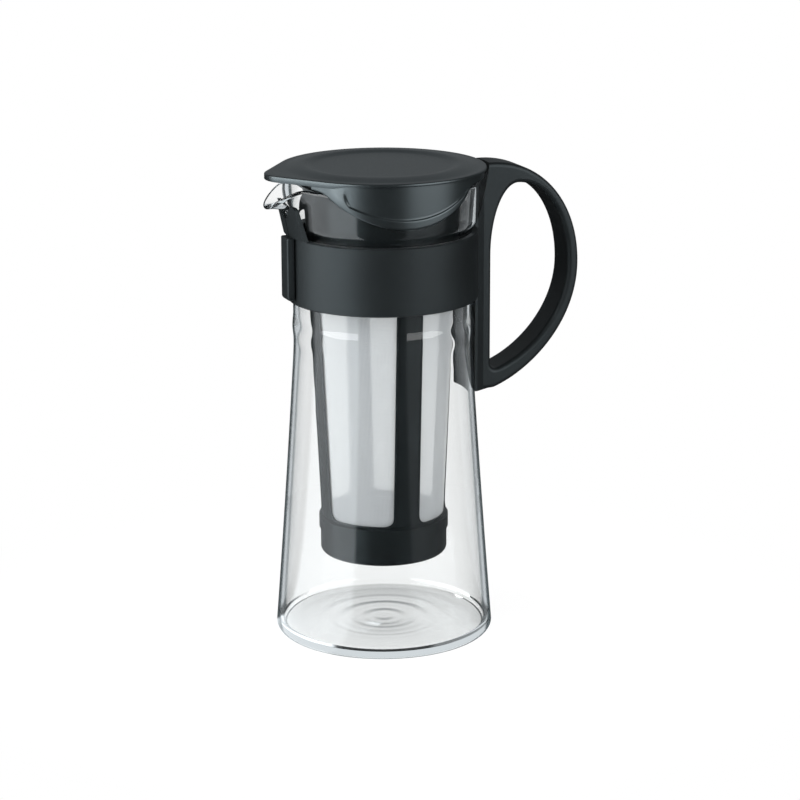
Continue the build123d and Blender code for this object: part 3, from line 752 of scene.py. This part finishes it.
    def build(self) -> Object:
        """Build the jug as one closed shell of profile rows and angle columns.

        Formula: the columns are closer together at the lip, which bulges by a squared cosine of the angle.

        Returns:
            The glass piece.
        """
        half = radians(self.lip_half_angle)
        offset = np.concatenate([np.linspace(-half, half, 61), np.linspace(half, 2 * pi - half, 182)[1:-1]])
        bulge = np.where(np.abs(offset) <= half, np.cos(pi / 2 * np.clip(offset / half, -1, 1)) ** 2, 0.0)
        angles = pi + offset
        rows = [turned(self.outside()[:-1, None], angles), turned(self.collar(bulge), angles),
                turned(self.inside()[1:, None], angles)]
        shell = Shell("glass_jug_blown", Body.JUG, Slot.GLASS, self.finish, ("glass_jug",), crease=60)
        shell.add(np.concatenate(rows), wrap_columns=True)
        return shell.finished()


# ---------------------------- lid


@dataclass
class Lid:
    """Beaked plate with a soft dish, a skirt with two hanging lobes outside the glass, and a seat ring.

    Sizes are in millimetres. The skirt's lip is its raised lower edge, and the hook is that edge's upturned
    end by the beak. The tuck is how far skirt and seat ring reach into the plate. Each of beak_edge_rows is
    how much thicker than its wall the beak's edge is there, and the share of its depth that is reached.
    """

    finish: Material
    plate_r: float = 42.2
    beak: float = 7.4
    beak_r: float = 12.0
    bottom_z: float = 194.3
    thick: float = 1.3
    edge: float = 0.6
    under_edge: float = 0.25
    under_rings: tuple[float, ...] = (0.0, 20.0, 36.0)
    beak_edge_depth: float = 1.2
    beak_edge_wall: float = 1.3
    beak_edge_x: float = -27.0
    beak_edge_fade: float = 6.0
    beak_edge_rows: tuple[tuple[float, float], ...] = ((0.5, 0.0), (0.12, 0.12), (0.0, 0.6), (-0.2, 1.0))
    crown_r: float = 39.5
    crown_shares: tuple[float, ...] = (0.35, 0.7)
    crest_r: float = 32.0
    crest: float = 1.1
    crown_slope: float = 0.12
    dish_r: float = 27.0
    dish: float = 0.2
    tuck: float = 0.4
    skirt_r: float = 41.3
    skirt_wall: float = 1.1
    skirt_height: float = 2.9
    lobe_bottom_z: float = 177.2
    lobe_r: float = 39.0
    lobe_x: float = -4.7
    shoulder_r: float = 5.0
    lip_proud: float = 0.6
    lip_width: float = 3.7
    lip_inner_r: float = 46.0
    lip_round: float = 0.45
    lip_round_share: float = 0.15
    lip_least: float = 0.35
    lip_most_share: float = 0.8
    lip_room: float = 5.0
    lip_room_fade: float = 4.0
    lip_step_soft: float = 0.11
    lip_fade: float = 1.4
    lip_rows: tuple[float, ...] = (0.0, 0.02, 0.065, 0.15, 0.26, 0.44, 0.62,
                                   0.76, 0.87, 0.94, 0.99, 1.04, 1.12, 1.24)
    hook_x: float = -26.0
    hook_length: float = 2.2
    hook_rise: float = 3.2
    hook_soft: float = 0.4
    seat_r: float = 37.2
    seat_wall: float = 1.2
    seat_height: float = 2.8
    seat_end_x: float = -29.0
    seat_round: float = 0.3
    seat_tuck_round: float = 0.05

    def outline(self) -> Points:
        """Plate outline: a large circle and the small beak circle with their two common tangents.

        Returns:
            Points (x, y), anticlockwise, first not repeated.
        """
        beak_x = self.beak_r - self.plate_r - self.beak
        turn = acos((self.plate_r - self.beak_r) / -beak_x)
        big = np.linspace(turn - pi, pi - turn, 300)
        small = np.linspace(pi - turn, pi + turn, 60)
        plate = self.plate_r * np.stack([np.cos(big), np.sin(big)], axis=1)
        nose = self.beak_r * np.stack([np.cos(small), np.sin(small)], axis=1) + np.array([beak_x, 0])
        sides = straight(plate[-1], nose[0], count=12), straight(nose[-1], plate[0], count=12)
        return join(plate, sides[0], nose, sides[1])[:-1]

    def top_heights(self) -> Points:
        """Top profile from the crown's foot inward over the crest to the middle of the level dish.

        Returns:
            Points (radius, height) of two cubics and a straight run.
        """
        top = self.bottom_z + self.thick
        crown, crest = (self.crown_r, top), (self.crest_r, top + self.crest)
        dish = (self.dish_r, top + self.dish)
        return join(hermite(crown, crest, (-1, self.crown_slope), (-1, 0), count=12),
                    hermite(crest, dish, (-1, 0), (-1, 0), count=10),
                    straight(dish, (0, top + self.dish), count=8))

    def build_plate(self) -> Object:
        """Build the plate.

        Formula: rows run from the middle of the underside out to the outline, round its lower and upper edge
        by quarter circles, and inward over the crown. Each row is the outline moved inward, or a circle.
        Round the beak the edge hangs lower, fading in with x.

        Returns:
            The plate.
        """
        line = self.outline()
        way = np.roll(line, -1, axis=0) - np.roll(line, 1, axis=0)
        normal = unit(np.stack([way[:, 1], -way[:, 0]], axis=1))
        ray = unit(line)
        bottom, top = self.bottom_z, self.bottom_z + self.thick
        hang = self.beak_edge_depth * smooth_step((self.beak_edge_x - line[:, 0]) / self.beak_edge_fade)
        rim = line - normal * self.edge
        rows = [lifted(ray * r, bottom) for r in self.under_rings]
        for extra, share in self.beak_edge_rows:
            rows.append(lifted(line - normal * (self.beak_edge_wall + extra), bottom - hang * share))
        for turn in np.linspace(0, pi / 2, 4):
            inset, rise = self.under_edge * (1 - sin(turn)), self.under_edge * (1 - cos(turn))
            rows.append(lifted(line - normal * inset, bottom - hang + rise))
        for turn in np.linspace(0, pi / 2, 7):
            inset, fall = self.edge * (1 - cos(turn)), self.edge * (1 - sin(turn))
            rows.append(lifted(line - normal * inset, top - fall))
        rows += [lifted(rim * (1 - share) + ray * self.crown_r * share, top) for share in self.crown_shares]
        rows += [lifted(ray * r, z) for r, z in self.top_heights()]
        shell = Shell("lid_plate", Body.LID, Slot.LID, self.finish, ("lid",))
        shell.add(np.array(rows), wrap_columns=True)
        return shell.finished()

    def shoulder_reach(self) -> float:
        """How far from the lobe's middle the level skirt edge starts, where the shoulder arc touches it."""
        rise = self.bottom_z - self.skirt_height - self.shoulder_r - self.lobe_bottom_z - self.lobe_r
        return sqrt((self.lobe_r + self.shoulder_r) ** 2 - rise**2)

    def skirt_foot(self, x: Points) -> Points:
        """Height of the skirt's lower edge.

        Formula: the lobe's circle in the middle, a shoulder circle that touches it on either side, and the
        level edge beyond the shoulders.

        Args:
            x: places along the lid.

        Returns:
            Height at each place.
        """
        reach = self.shoulder_reach()
        away = np.abs(x - self.lobe_x)
        lobe = self.lobe_bottom_z + draw_in(self.lobe_r, away)
        shoulder = self.bottom_z - self.skirt_height - draw_in(self.shoulder_r, reach - away)
        touch = reach * self.lobe_r / (self.lobe_r + self.shoulder_r)
        return np.where(away < touch, lobe, shoulder)

    def build_skirt(self) -> Object:
        """Build the skirt wall with its lobes and their raised lower edge.

        Formula: columns go round the axis from one end of the skirt to the other, rows go round the wall's
        section. The raised edge lies between the lobe's circle and a flatter one, and toward the beak its
        upper step turns up and fades into the wall.

        Returns:
            The skirt.
        """
        end = acos((self.lobe_x - self.shoulder_reach()) / self.skirt_r)
        angles = np.linspace(-end, end, 560)
        x = self.skirt_r * np.cos(angles)
        foot = self.skirt_foot(x)
        full = self.bottom_z + self.tuck
        room = full - foot
        step = self.lobe_bottom_z + self.lip_width + draw_in(self.lip_inner_r, np.abs(x - self.lobe_x))
        hook = smooth_step((self.hook_x - x) / self.hook_length)
        width = np.clip(step - foot, self.lip_least, None) + hook * self.hook_rise
        width = np.minimum(width, room * self.lip_most_share)
        low = np.array(self.lip_rows)[:, None]
        rounding = self.lip_round * np.sqrt(1 - (1 - np.clip(low / self.lip_round_share, 0, 1)) ** 2)
        soft = self.lip_step_soft + self.hook_soft * hook
        drop = smooth_step((low - 1.0 + soft) / (2 * soft))
        proud = self.lip_proud * smooth_step((room - self.lip_room) / self.lip_room_fade)
        outer_r = self.skirt_r - self.lip_round + rounding + (1 - drop) * proud
        outer = np.stack([outer_r, foot + low * width], axis=-1)
        rest = np.linspace(0, 1, 9)[1:, None]
        upper_z = foot + low[-1] * width + (room - low[-1] * width) * rest
        upper_r = self.skirt_r + (1 - drop[-1]) * proud * (1 - smooth_step(rest * self.lip_fade))
        upper = np.stack([upper_r, upper_z], axis=-1)
        inner_z = full - room * np.linspace(0, 1, 8)[:, None]
        inner = np.stack([np.full_like(inner_z, self.skirt_r - self.skirt_wall), inner_z], axis=-1)
        grid = turned(np.concatenate([outer, upper, inner]), angles)
        shell = Shell("lid_skirt", Body.LID, Slot.LID, self.finish)
        shell.add(grid, wrap_rows=True)
        shell.close_ends(grid)
        return shell.finished()

    def build_seat(self) -> Object:
        """Build the ring under the plate that sits on the basket's flange, open behind the beak.

        Formula: a rounded upright section is carried round the axis between the ring's two ends.

        Returns:
            The seat ring.
        """
        end = acos(self.seat_end_x / self.seat_r)
        outer_r, inner_r = self.seat_r, self.seat_r - self.seat_wall
        low, high = self.bottom_z - self.seat_height, self.bottom_z + self.tuck
        radii = [self.seat_round, self.seat_tuck_round, self.seat_tuck_round, self.seat_round]
        corners = [(outer_r, low), (outer_r, high), (inner_r, high), (inner_r, low)]
        section = round_polygon(corners, radii, count=5)
        grid = turned(section[:, None], np.linspace(-end, end, 160))
        shell = Shell("lid_seat_ring", Body.LID, Slot.LID, self.finish)
        shell.add(grid, wrap_rows=True)
        shell.close_ends(grid)
        return shell.finished()

    def build(self) -> list[Object]:
        """Build the plate, the skirt and the seat ring."""
        return [self.build_plate(), self.build_skirt(), self.build_seat()]


# ---------------------------- band clasp


@dataclass
class BandClasp:
    """Strip with a dovetail groove and a rounded foot that slides up over the band's rail.

    Sizes are in millimetres. What lies further out than the groove by more than the skin is the outside, and
    the two draws are the shares of an end's rounding by which its face moves back and its sides move in.
    """

    finish: Material
    bottom_z: float = 143.8
    top_z: float = 169.5
    back_x: float = -39.4
    face_x: float = -42.4
    width: float = 8.2
    corner: float = 1.1
    back_corner: float = 0.25
    groove_corner: float = 0.12
    groove_root: float = 4.6
    groove_face: float = 6.1
    groove_x: float = -41.05
    foot_round: float = 1.6
    head_round: float = 0.5
    skin: float = 0.3
    draw_back: float = 0.8
    draw_side: float = 0.35

    def build(self) -> Object:
        """Build the clasp.

        Formula: the rounded section is carried up the strip, and near the foot and the head its face draws
        back along a quarter circle.

        Returns:
            The clasp.
        """
        back, face, groove = self.back_x, self.face_x, self.groove_x
        half, root, mouth = self.width / 2, self.groove_root / 2, self.groove_face / 2
        corners = [(back, -half), (face, -half), (face, half), (back, half),
                   (back, root), (groove, mouth), (groove, -mouth), (back, -root)]
        radii = [self.back_corner, self.corner, self.corner, self.back_corner] + [self.groove_corner] * 4
        x, y = round_polygon(corners, radii, count=8).T
        foot, head, length = self.foot_round, self.head_round, self.top_z - self.bottom_z
        rise = np.concatenate([foot * (1 - np.cos(np.linspace(0, pi / 2, 10))),
                               np.linspace(foot, length - head, 8)[1:-1],
                               length - head + head * np.sin(np.linspace(0, pi / 2, 6))])[:, None]
        shrink = draw_in(foot, foot - rise) + draw_in(head, rise - length + head)
        outward = (np.abs(y) > mouth + self.skin) | (x < groove - self.skin)
        depth = np.clip((back - x) / (back - face), 0, 1)
        x = x + np.where(outward, depth, 0) * shrink * self.draw_back
        y = y * (1 - outward * shrink * self.draw_side / half)
        grid = np.stack([x, y, self.bottom_z + rise + 0 * x], axis=-1)
        shell = Shell("clasp_strip", Body.CLASP, Slot.BAND, self.finish, ("band_clasp",))
        shell.add(grid, wrap_columns=True)
        for ring in (grid[0], grid[-1]):
            self.cap(shell, ring)
        return shell.finished()

    def cap(self, shell: Shell, ring: Points) -> None:
        """Close an end: the outer half of the section's ring is joined straight to the groove's half."""
        outer, inner = np.split(ring, 2)
        shell.add(np.stack([outer, inner[::-1]]))


# ---------------------------- strainer


@dataclass
class Strainer:
    """Hanging basket: solid upper cone, four ribs and four woven windows.

    Sizes are in millimetres. The tuck is how far the cloth reaches into the plastic, and the lip is the fine
    round frame of a window, whose middle lies lip_out of its size outside the window.
    """

    plastic: Material
    cloth: Material
    windows: int = 4
    first_turn: float = 45.0
    cone_bottom_z: float = 44.0
    cone_bottom_r: float = 25.45
    cone_top_z: float = 183.0
    cone_top_r: float = 31.7
    rib_width: float = 10.8
    window_low_z: float = 50.5
    window_high_z: float = 150.0
    window_corner: float = 4.0
    cloth_depth: float = 0.75
    cloth_thick: float = 0.25
    tuck: float = 0.5
    lip: float = 0.35
    lip_out: float = 0.6
    lip_flatness: float = 1.3

    def cone_radius(self, z: Values) -> Values:
        """Outside radius of the basket, which grows evenly with height."""
        slope = (self.cone_top_r - self.cone_bottom_r) / (self.cone_top_z - self.cone_bottom_z)
        return self.cone_bottom_r + slope * (z - self.cone_bottom_z)

    def window_half(self, z: Values) -> Values:
        """Half width of a window, seen straight on, between two ribs of even width."""
        rib = self.rib_width / 2
        return (np.sqrt(self.cone_radius(z) ** 2 - rib**2) - rib) / sqrt(2)

    def window_outline(self, grow: float, count: int = 240) -> Points:
        """Closed window outline with rounded corners and evenly spaced points.

        Args:
            grow: how far the outline is moved outward.
            count: number of points.

        Returns:
            Points (across, height), first not repeated.
        """
        low, high = self.window_low_z - grow, self.window_high_z + grow
        low_half, high_half = self.window_half(low) + grow, self.window_half(high) + grow
        corners = [(-low_half, low), (low_half, low), (high_half, high), (-high_half, high)]
        line = round_polygon(corners, [self.window_corner + grow] * 4, count=9)
        steps = np.linalg.norm(np.roll(line, -1, axis=0) - line, axis=1)
        path = np.concatenate([[0], np.cumsum(steps)])
        loop = np.vstack([line, line[:1]])
        place = np.linspace(0, path[-1], count + 1)[:-1]
        return np.stack([np.interp(place, path, loop[:, axis]) for axis in range(2)], axis=1)

    def on_cone(self, across: Points, z: Points, depth: float, quarter: int) -> Points:
        """Put window points on the cone.

        Formula: the distance forward is the root of the cone's radius squared less the sideways distance
        squared, and the whole is turned to the window's quarter.

        Args:
            across: sideways distances from the window's middle line.
            z: heights.
            depth: how far the points lie below the cone's surface.
            quarter: which of the windows, from 0.

        Returns:
            Points (x, y, z).
        """
        forward = np.sqrt(np.maximum((self.cone_radius(z) - depth) ** 2 - across**2, 0))
        turn = radians(self.first_turn + 360 / self.windows * quarter)
        x = forward * cos(turn) - across * sin(turn)
        y = forward * sin(turn) + across * cos(turn)
        return np.stack([x, y, z], axis=-1)

    def build_cloth(self, quarter: int) -> Object:
        """Build one woven panel as a thin stretched sheet on the cone.

        Formula: rows are heights, and columns cross the window from edge to edge, so the sheet follows the
        rounded outline. Its UV map holds the cloth's own millimetres, across them the arc on the cone.

        Args:
            quarter: which of the windows, from 0.

        Returns:
            The sheet.
        """
        low, high = self.window_low_z - self.tuck, self.window_high_z + self.tuck
        corner, bend = self.window_corner, np.linspace(0, pi / 2, 9)
        z = np.concatenate([low + corner * (1 - np.cos(bend)),
                            np.linspace(low + corner, high - corner, 40)[1:-1],
                            high - corner + corner * np.sin(bend)])
        pinch = draw_in(corner, corner - np.minimum(z - low, high - z))
        half = self.window_half(z) + self.tuck - pinch
        across = half[:, None] * np.linspace(-1, 1, 33)
        height = z[:, None] + 0 * across
        grid = self.on_cone(across, height, self.cloth_depth, quarter)
        quads = grid_quads(*across.shape)
        piece = new_piece(f"mesh_cloth_{quarter + 1}", grid.reshape(-1, 3) * MM, quads.tolist(), self.cloth)
        radius = self.cone_radius(z)[:, None] - self.cloth_depth
        arc = radius * np.arcsin(np.clip(across / radius, -1, 1))
        flat = np.stack([arc, height], axis=-1).reshape(-1, 2)
        piece.data.uv_layers.new(name="cloth_mm").data.foreach_set("uv", flat[quads.reshape(-1)].reshape(-1))
        thick = piece.modifiers.new("thread_thickness", "SOLIDIFY")
        thick.thickness = self.cloth_thick * MM
        thick.offset = -1.0
        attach(piece, Body.STRAINER.value)
        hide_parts(f"mesh_panel_{quarter + 1}")
        width = float(arc.max() - arc.min())
        length = float(np.hypot(high - low, np.ptp(radius)))
        LOG.info("%s: flat %.1f x %.1f mm", piece.name, width, length)
        return piece

    def build_window_lips(self) -> Object:
        """Build the fine rounded lip that frames each window.

        Formula: a small oval, lip_flatness times as wide as it is proud, is carried along each outline.

        Returns:
            The lips of all windows.
        """
        shell = Shell("window_lips", Body.STRAINER, Slot.BASKET, self.plastic)
        turn = even_turn(10)[:, None]
        for quarter in range(self.windows):
            line = self.window_outline(self.lip * self.lip_out)
            ring = self.on_cone(line[:, 0], line[:, 1], 0.0, quarter)
            along = unit(np.roll(ring, -1, axis=0) - np.roll(ring, 1, axis=0))
            outward = unit(ring * np.array([1.0, 1.0, 0.0]))
            side = unit(np.cross(along, outward)) * self.lip_flatness
            oval = self.lip * (np.cos(turn) * outward[:, None] + np.sin(turn) * side[:, None])
            shell.add(ring[:, None] + oval, wrap_rows=True, wrap_columns=True)
        return shell.finished()

    def build(self) -> None:
        """Build the cloth panels and the window lips, and dress the moulded frame."""
        dress_node("strainer_frame", self.plastic, Slot.BASKET)
        for quarter in range(self.windows):
            self.build_cloth(quarter)
        self.build_window_lips()


# ---------------------------- studio


@dataclass(frozen=True)
class Sector:
    """A bright sector of the surroundings, by the azimuth of its middle and half its width in degrees."""

    turn: float
    half: float
    glow: float
    soft: float = 3.0

    def brightness(self, add: AddNode, place: Feed) -> Node:
        """Brightness of the sector in one direction.

        Formula: the cosine of the angle to the sector's middle decides it, with an edge that is soft for
        some degrees to either side.

        Args:
            add: add_node for the floor's or the world's tree.
            place: the floor point or the direction, seen from the middle of the floor.

        Returns:
            A node whose output is glow inside the sector and 0 outside.
        """
        way = add("VectorMath", {"operation": "NORMALIZE"}, {0: place})
        middle = (cos(radians(self.turn)), sin(radians(self.turn)), 0.0)
        near = add("VectorMath", {"operation": "DOT_PRODUCT", 1: middle}, {0: way})
        edge = {1: cos(radians(self.half + self.soft)), 2: cos(radians(self.half - self.soft))}
        return add("MapRange", SMOOTH | edge | {3: 0.0, 4: self.glow}, {0: near.outputs["Value"]})


@dataclass
class Studio:
    """Pale floor, two soft boxes, white surroundings and the camera, in metres and degrees.

    The camera sees floor and world white. A glossy surface mirrors them almost dark but for the sectors: left
    and right on the floor, where the soft boxes stand, and back in the world. Glass walls pick up white from
    behind the object, and all other rays get a plain soft light.
    """

    seen_glow: float = 1.0
    mirrored_glow: float = 0.04
    lighting_glow: float = 0.85
    within_glow: float = 0.85
    cool: str = "#E9EFF3"
    left: Sector = Sector(turn=185.0, half=33.0, glow=1.5)
    right: Sector = Sector(turn=303.0, half=25.0, glow=0.22)
    back: Sector = Sector(turn=68.0, half=48.0, glow=0.23)
    behind: Sector = Sector(turn=68.0, half=72.0, glow=1.0)
    left_box_glow: float = 4.1
    right_box_glow: float = 2.8
    box_reach: float = 1.2
    box_height: float = 1.3
    box_diffuse: float = 0.55
    floor_r: float = 8.0
    floor_gap: float = 0.00003
    floor_white: str = "#F4F4F4"
    shadow_share: float = 0.22
    shadow_near: float = 0.06
    shadow_far: float = 0.2
    camera_reach: float = 1.0365
    camera_height: float = 0.3841
    camera_side: float = 0.0070
    camera_turn: float = 22.0
    camera_fall: float = 15.462
    camera_roll: float = -0.003
    lens: float = 117.1
    sensor: float = 36.0
    clip_near: float = 0.01
    clip_far: float = 50.0

    def glow_in_glass(self, add: AddNode, place: Feed, within: Feed, guided: Feed, plain: Feed) -> Node:
        """Brightness of the surroundings for glossy rays, with the white that glass walls pick up.

        Formula: a wall mirrors within itself the white sector behind the object and guides white from all
        sides, and every other glossy ray keeps the plain brightness.

        Args:
            add: add_node for the floor's or the world's tree.
            place: the floor point or the direction that the ray meets.
            within: 1 for rays mirrored within a wall.
            guided: 1 for rays guided along a wall.
            plain: brightness for all other rays.

        Returns:
            A node whose output is the brightness.
        """
        behind = self.behind.brightness(add, place)
        share = add("Math", MULTIPLY, {0: within, 1: behind})
        share = add("Math", LARGER, {0: share, 1: guided})
        return add("Mix", {"data_type": "FLOAT", 3: self.within_glow}, {0: share, 2: plain})

    def floor(self) -> Object:
        """Build the floor disc: white board that takes the shadow, and glows white further out.

        Returns:
            The floor.
        """
        material, add = new_material("painted_board_white")
        place = add("TexCoord").outputs["Object"]
        seen, glossy, within, guided = ray_choices(add)
        far = add("VectorMath", {"operation": "LENGTH"}, {0: place}).outputs["Value"]
        share = add("MapRange", SMOOTH | {1: self.shadow_near, 2: self.shadow_far, 3: 1 - self.shadow_share},
                    {0: far})
        board = add("BsdfDiffuse", {"Color": linear(self.floor_white)})
        white = add("Emission", {"Strength": self.seen_glow})
        shown = add("MixShader", {}, {0: share, 1: board, 2: white})
        sides = {0: self.left.brightness(add, place), 1: self.right.brightness(add, place)}
        lit = add("Math", ADD, sides)
        lit = add("Math", ADD | {1: self.mirrored_glow}, {0: lit})
        lit = self.glow_in_glass(add, place, within, guided, lit)
        mirrored = add("Emission", {"Color": linear(self.cool)}, {"Strength": lit})
        unseen = add("MixShader", {}, {0: glossy, 1: board, 2: mirrored})
        surface = add("MixShader", {}, {0: seen, 1: unseen, 2: shown})
        add("OutputMaterial", {}, {"Surface": surface})
        turn = even_turn(96)
        disc = self.floor_r * np.stack([np.cos(turn), np.sin(turn), 0 * turn], axis=1)
        disc -= np.array([0, 0, self.floor_gap])
        piece = new_piece("floor", disc, [list(range(len(disc)))], material)
        return piece

    def surroundings(self) -> None:
        """Make the world white to the camera, dark but for its back to glossy rays, and soft to the rest."""
        world = bpy.data.worlds.new("white_tent")
        world.use_nodes = True
        world.node_tree.nodes.clear()
        add = partial(add_node, world.node_tree)
        seen, glossy, within, guided = ray_choices(add)
        way = add("TexCoord").outputs["Generated"]
        sky = add("Math", ADD | {1: self.mirrored_glow}, {0: self.back.brightness(add, way)})
        sky = self.glow_in_glass(add, way, within, guided, sky)
        white = linear("#FFFFFF")
        base = add("Background", {"Color": white, "Strength": self.lighting_glow})
        mirror = add("Background", {"Color": linear(self.cool)}, {"Strength": sky})
        shown = add("Background", {"Color": white, "Strength": self.seen_glow})
        unseen = add("MixShader", {}, {0: glossy, 1: base, 2: mirror})
        surface = add("MixShader", {}, {0: seen, 1: unseen, 2: shown})
        add("OutputWorld", {}, {"Surface": surface})
        bpy.context.scene.world = world

    def soft_box(self, name: str, sector: Sector, glow: float) -> Object:
        """Add a soft box that fills its sector, facing the axis.

        Formula: its width is what the sector spans at box_reach, and its power is pi times area times glow.

        Args:
            name: name of the lamp.
            sector: the sector that it stands in.
            glow: brightness of its face.

        Returns:
            The lamp.
        """
        turn, half = radians(sector.turn), radians(sector.half)
        data = bpy.data.lights.new(name, "AREA")
        data.shape = "RECTANGLE"
        data.size = 2 * self.box_reach * tan(half)
        data.size_y = self.box_height
        data.energy = pi * data.size * data.size_y * glow
        data.diffuse_factor = self.box_diffuse
        lamp = bpy.data.objects.new(name, data)
        way = Vector((-self.box_reach * cos(turn), -self.box_reach * sin(turn), 0.0))
        place = Vector((0.0, 0.0, self.box_height / 2)) - way
        lamp.matrix_world = Matrix.Translation(place) @ way.to_track_quat("-Z", "Y").to_matrix().to_4x4()
        bpy.context.scene.collection.objects.link(lamp)
        return lamp

    def camera(self) -> Object:
        """Place the camera by its direction: it looks camera_turn round from +Y and camera_fall down.

        Returns:
            The camera.
        """
        turn, fall = radians(self.camera_turn), radians(self.camera_fall)
        way = Vector((sin(turn) * cos(fall), cos(turn) * cos(fall), -sin(fall)))
        data = bpy.data.cameras.new("camera")
        data.lens, data.sensor_width = self.lens, self.sensor
        data.clip_start, data.clip_end = self.clip_near, self.clip_far
        camera = bpy.data.objects.new("camera", data)
        place = Vector((self.camera_side * cos(turn) - self.camera_reach * sin(turn),
                        -self.camera_side * sin(turn) - self.camera_reach * cos(turn), self.camera_height))
        aim = way.to_track_quat("-Z", "Y").to_matrix().to_4x4()
        camera.matrix_world = Matrix.Translation(place) @ aim @ Matrix.Rotation(self.camera_roll, 4, "Z")
        bpy.context.scene.collection.objects.link(camera)
        bpy.context.scene.camera = camera
        return camera

    def build(self) -> None:
        """Build floor, surroundings, soft boxes and camera."""
        self.floor()
        self.surroundings()
        self.soft_box("soft_box_left", self.left, self.left_box_glow)
        self.soft_box("soft_box_right", self.right, self.right_box_glow)
        self.camera()
        bpy.context.scene.view_settings.view_transform = "Standard"


def main() -> None:
    """Build every piece in order and report it."""
    logging.basicConfig(level=logging.INFO, format="%(message)s")
    # The lid comes from a polished tool and mirrors most, and the basket is the darkest of the three.
    band = MouldedPolypropylene("polypropylene_satin_moulded", "#0D0F10", "#111415", 0.46, 0.5).make()
    lid = MouldedPolypropylene("polypropylene_satin_lid", "#0B0E0F", "#0F1314", 0.32, 0.92, ior=1.6).make()
    basket = MouldedPolypropylene("polypropylene_satin_basket", "#080B0C", "#0C1011", 0.34, 0.34).make()
    GlassJug(BlownBorosilicate().make()).build()
    dress_node("handle_band", band, Slot.BAND)
    BandClasp(band).build()
    Lid(lid).build()
    Strainer(basket, WovenPolyester().make()).build()
    dress_node("strainer_cap", basket, Slot.BASKET)
    Studio().build()


if __name__ == "__main__":
    main()
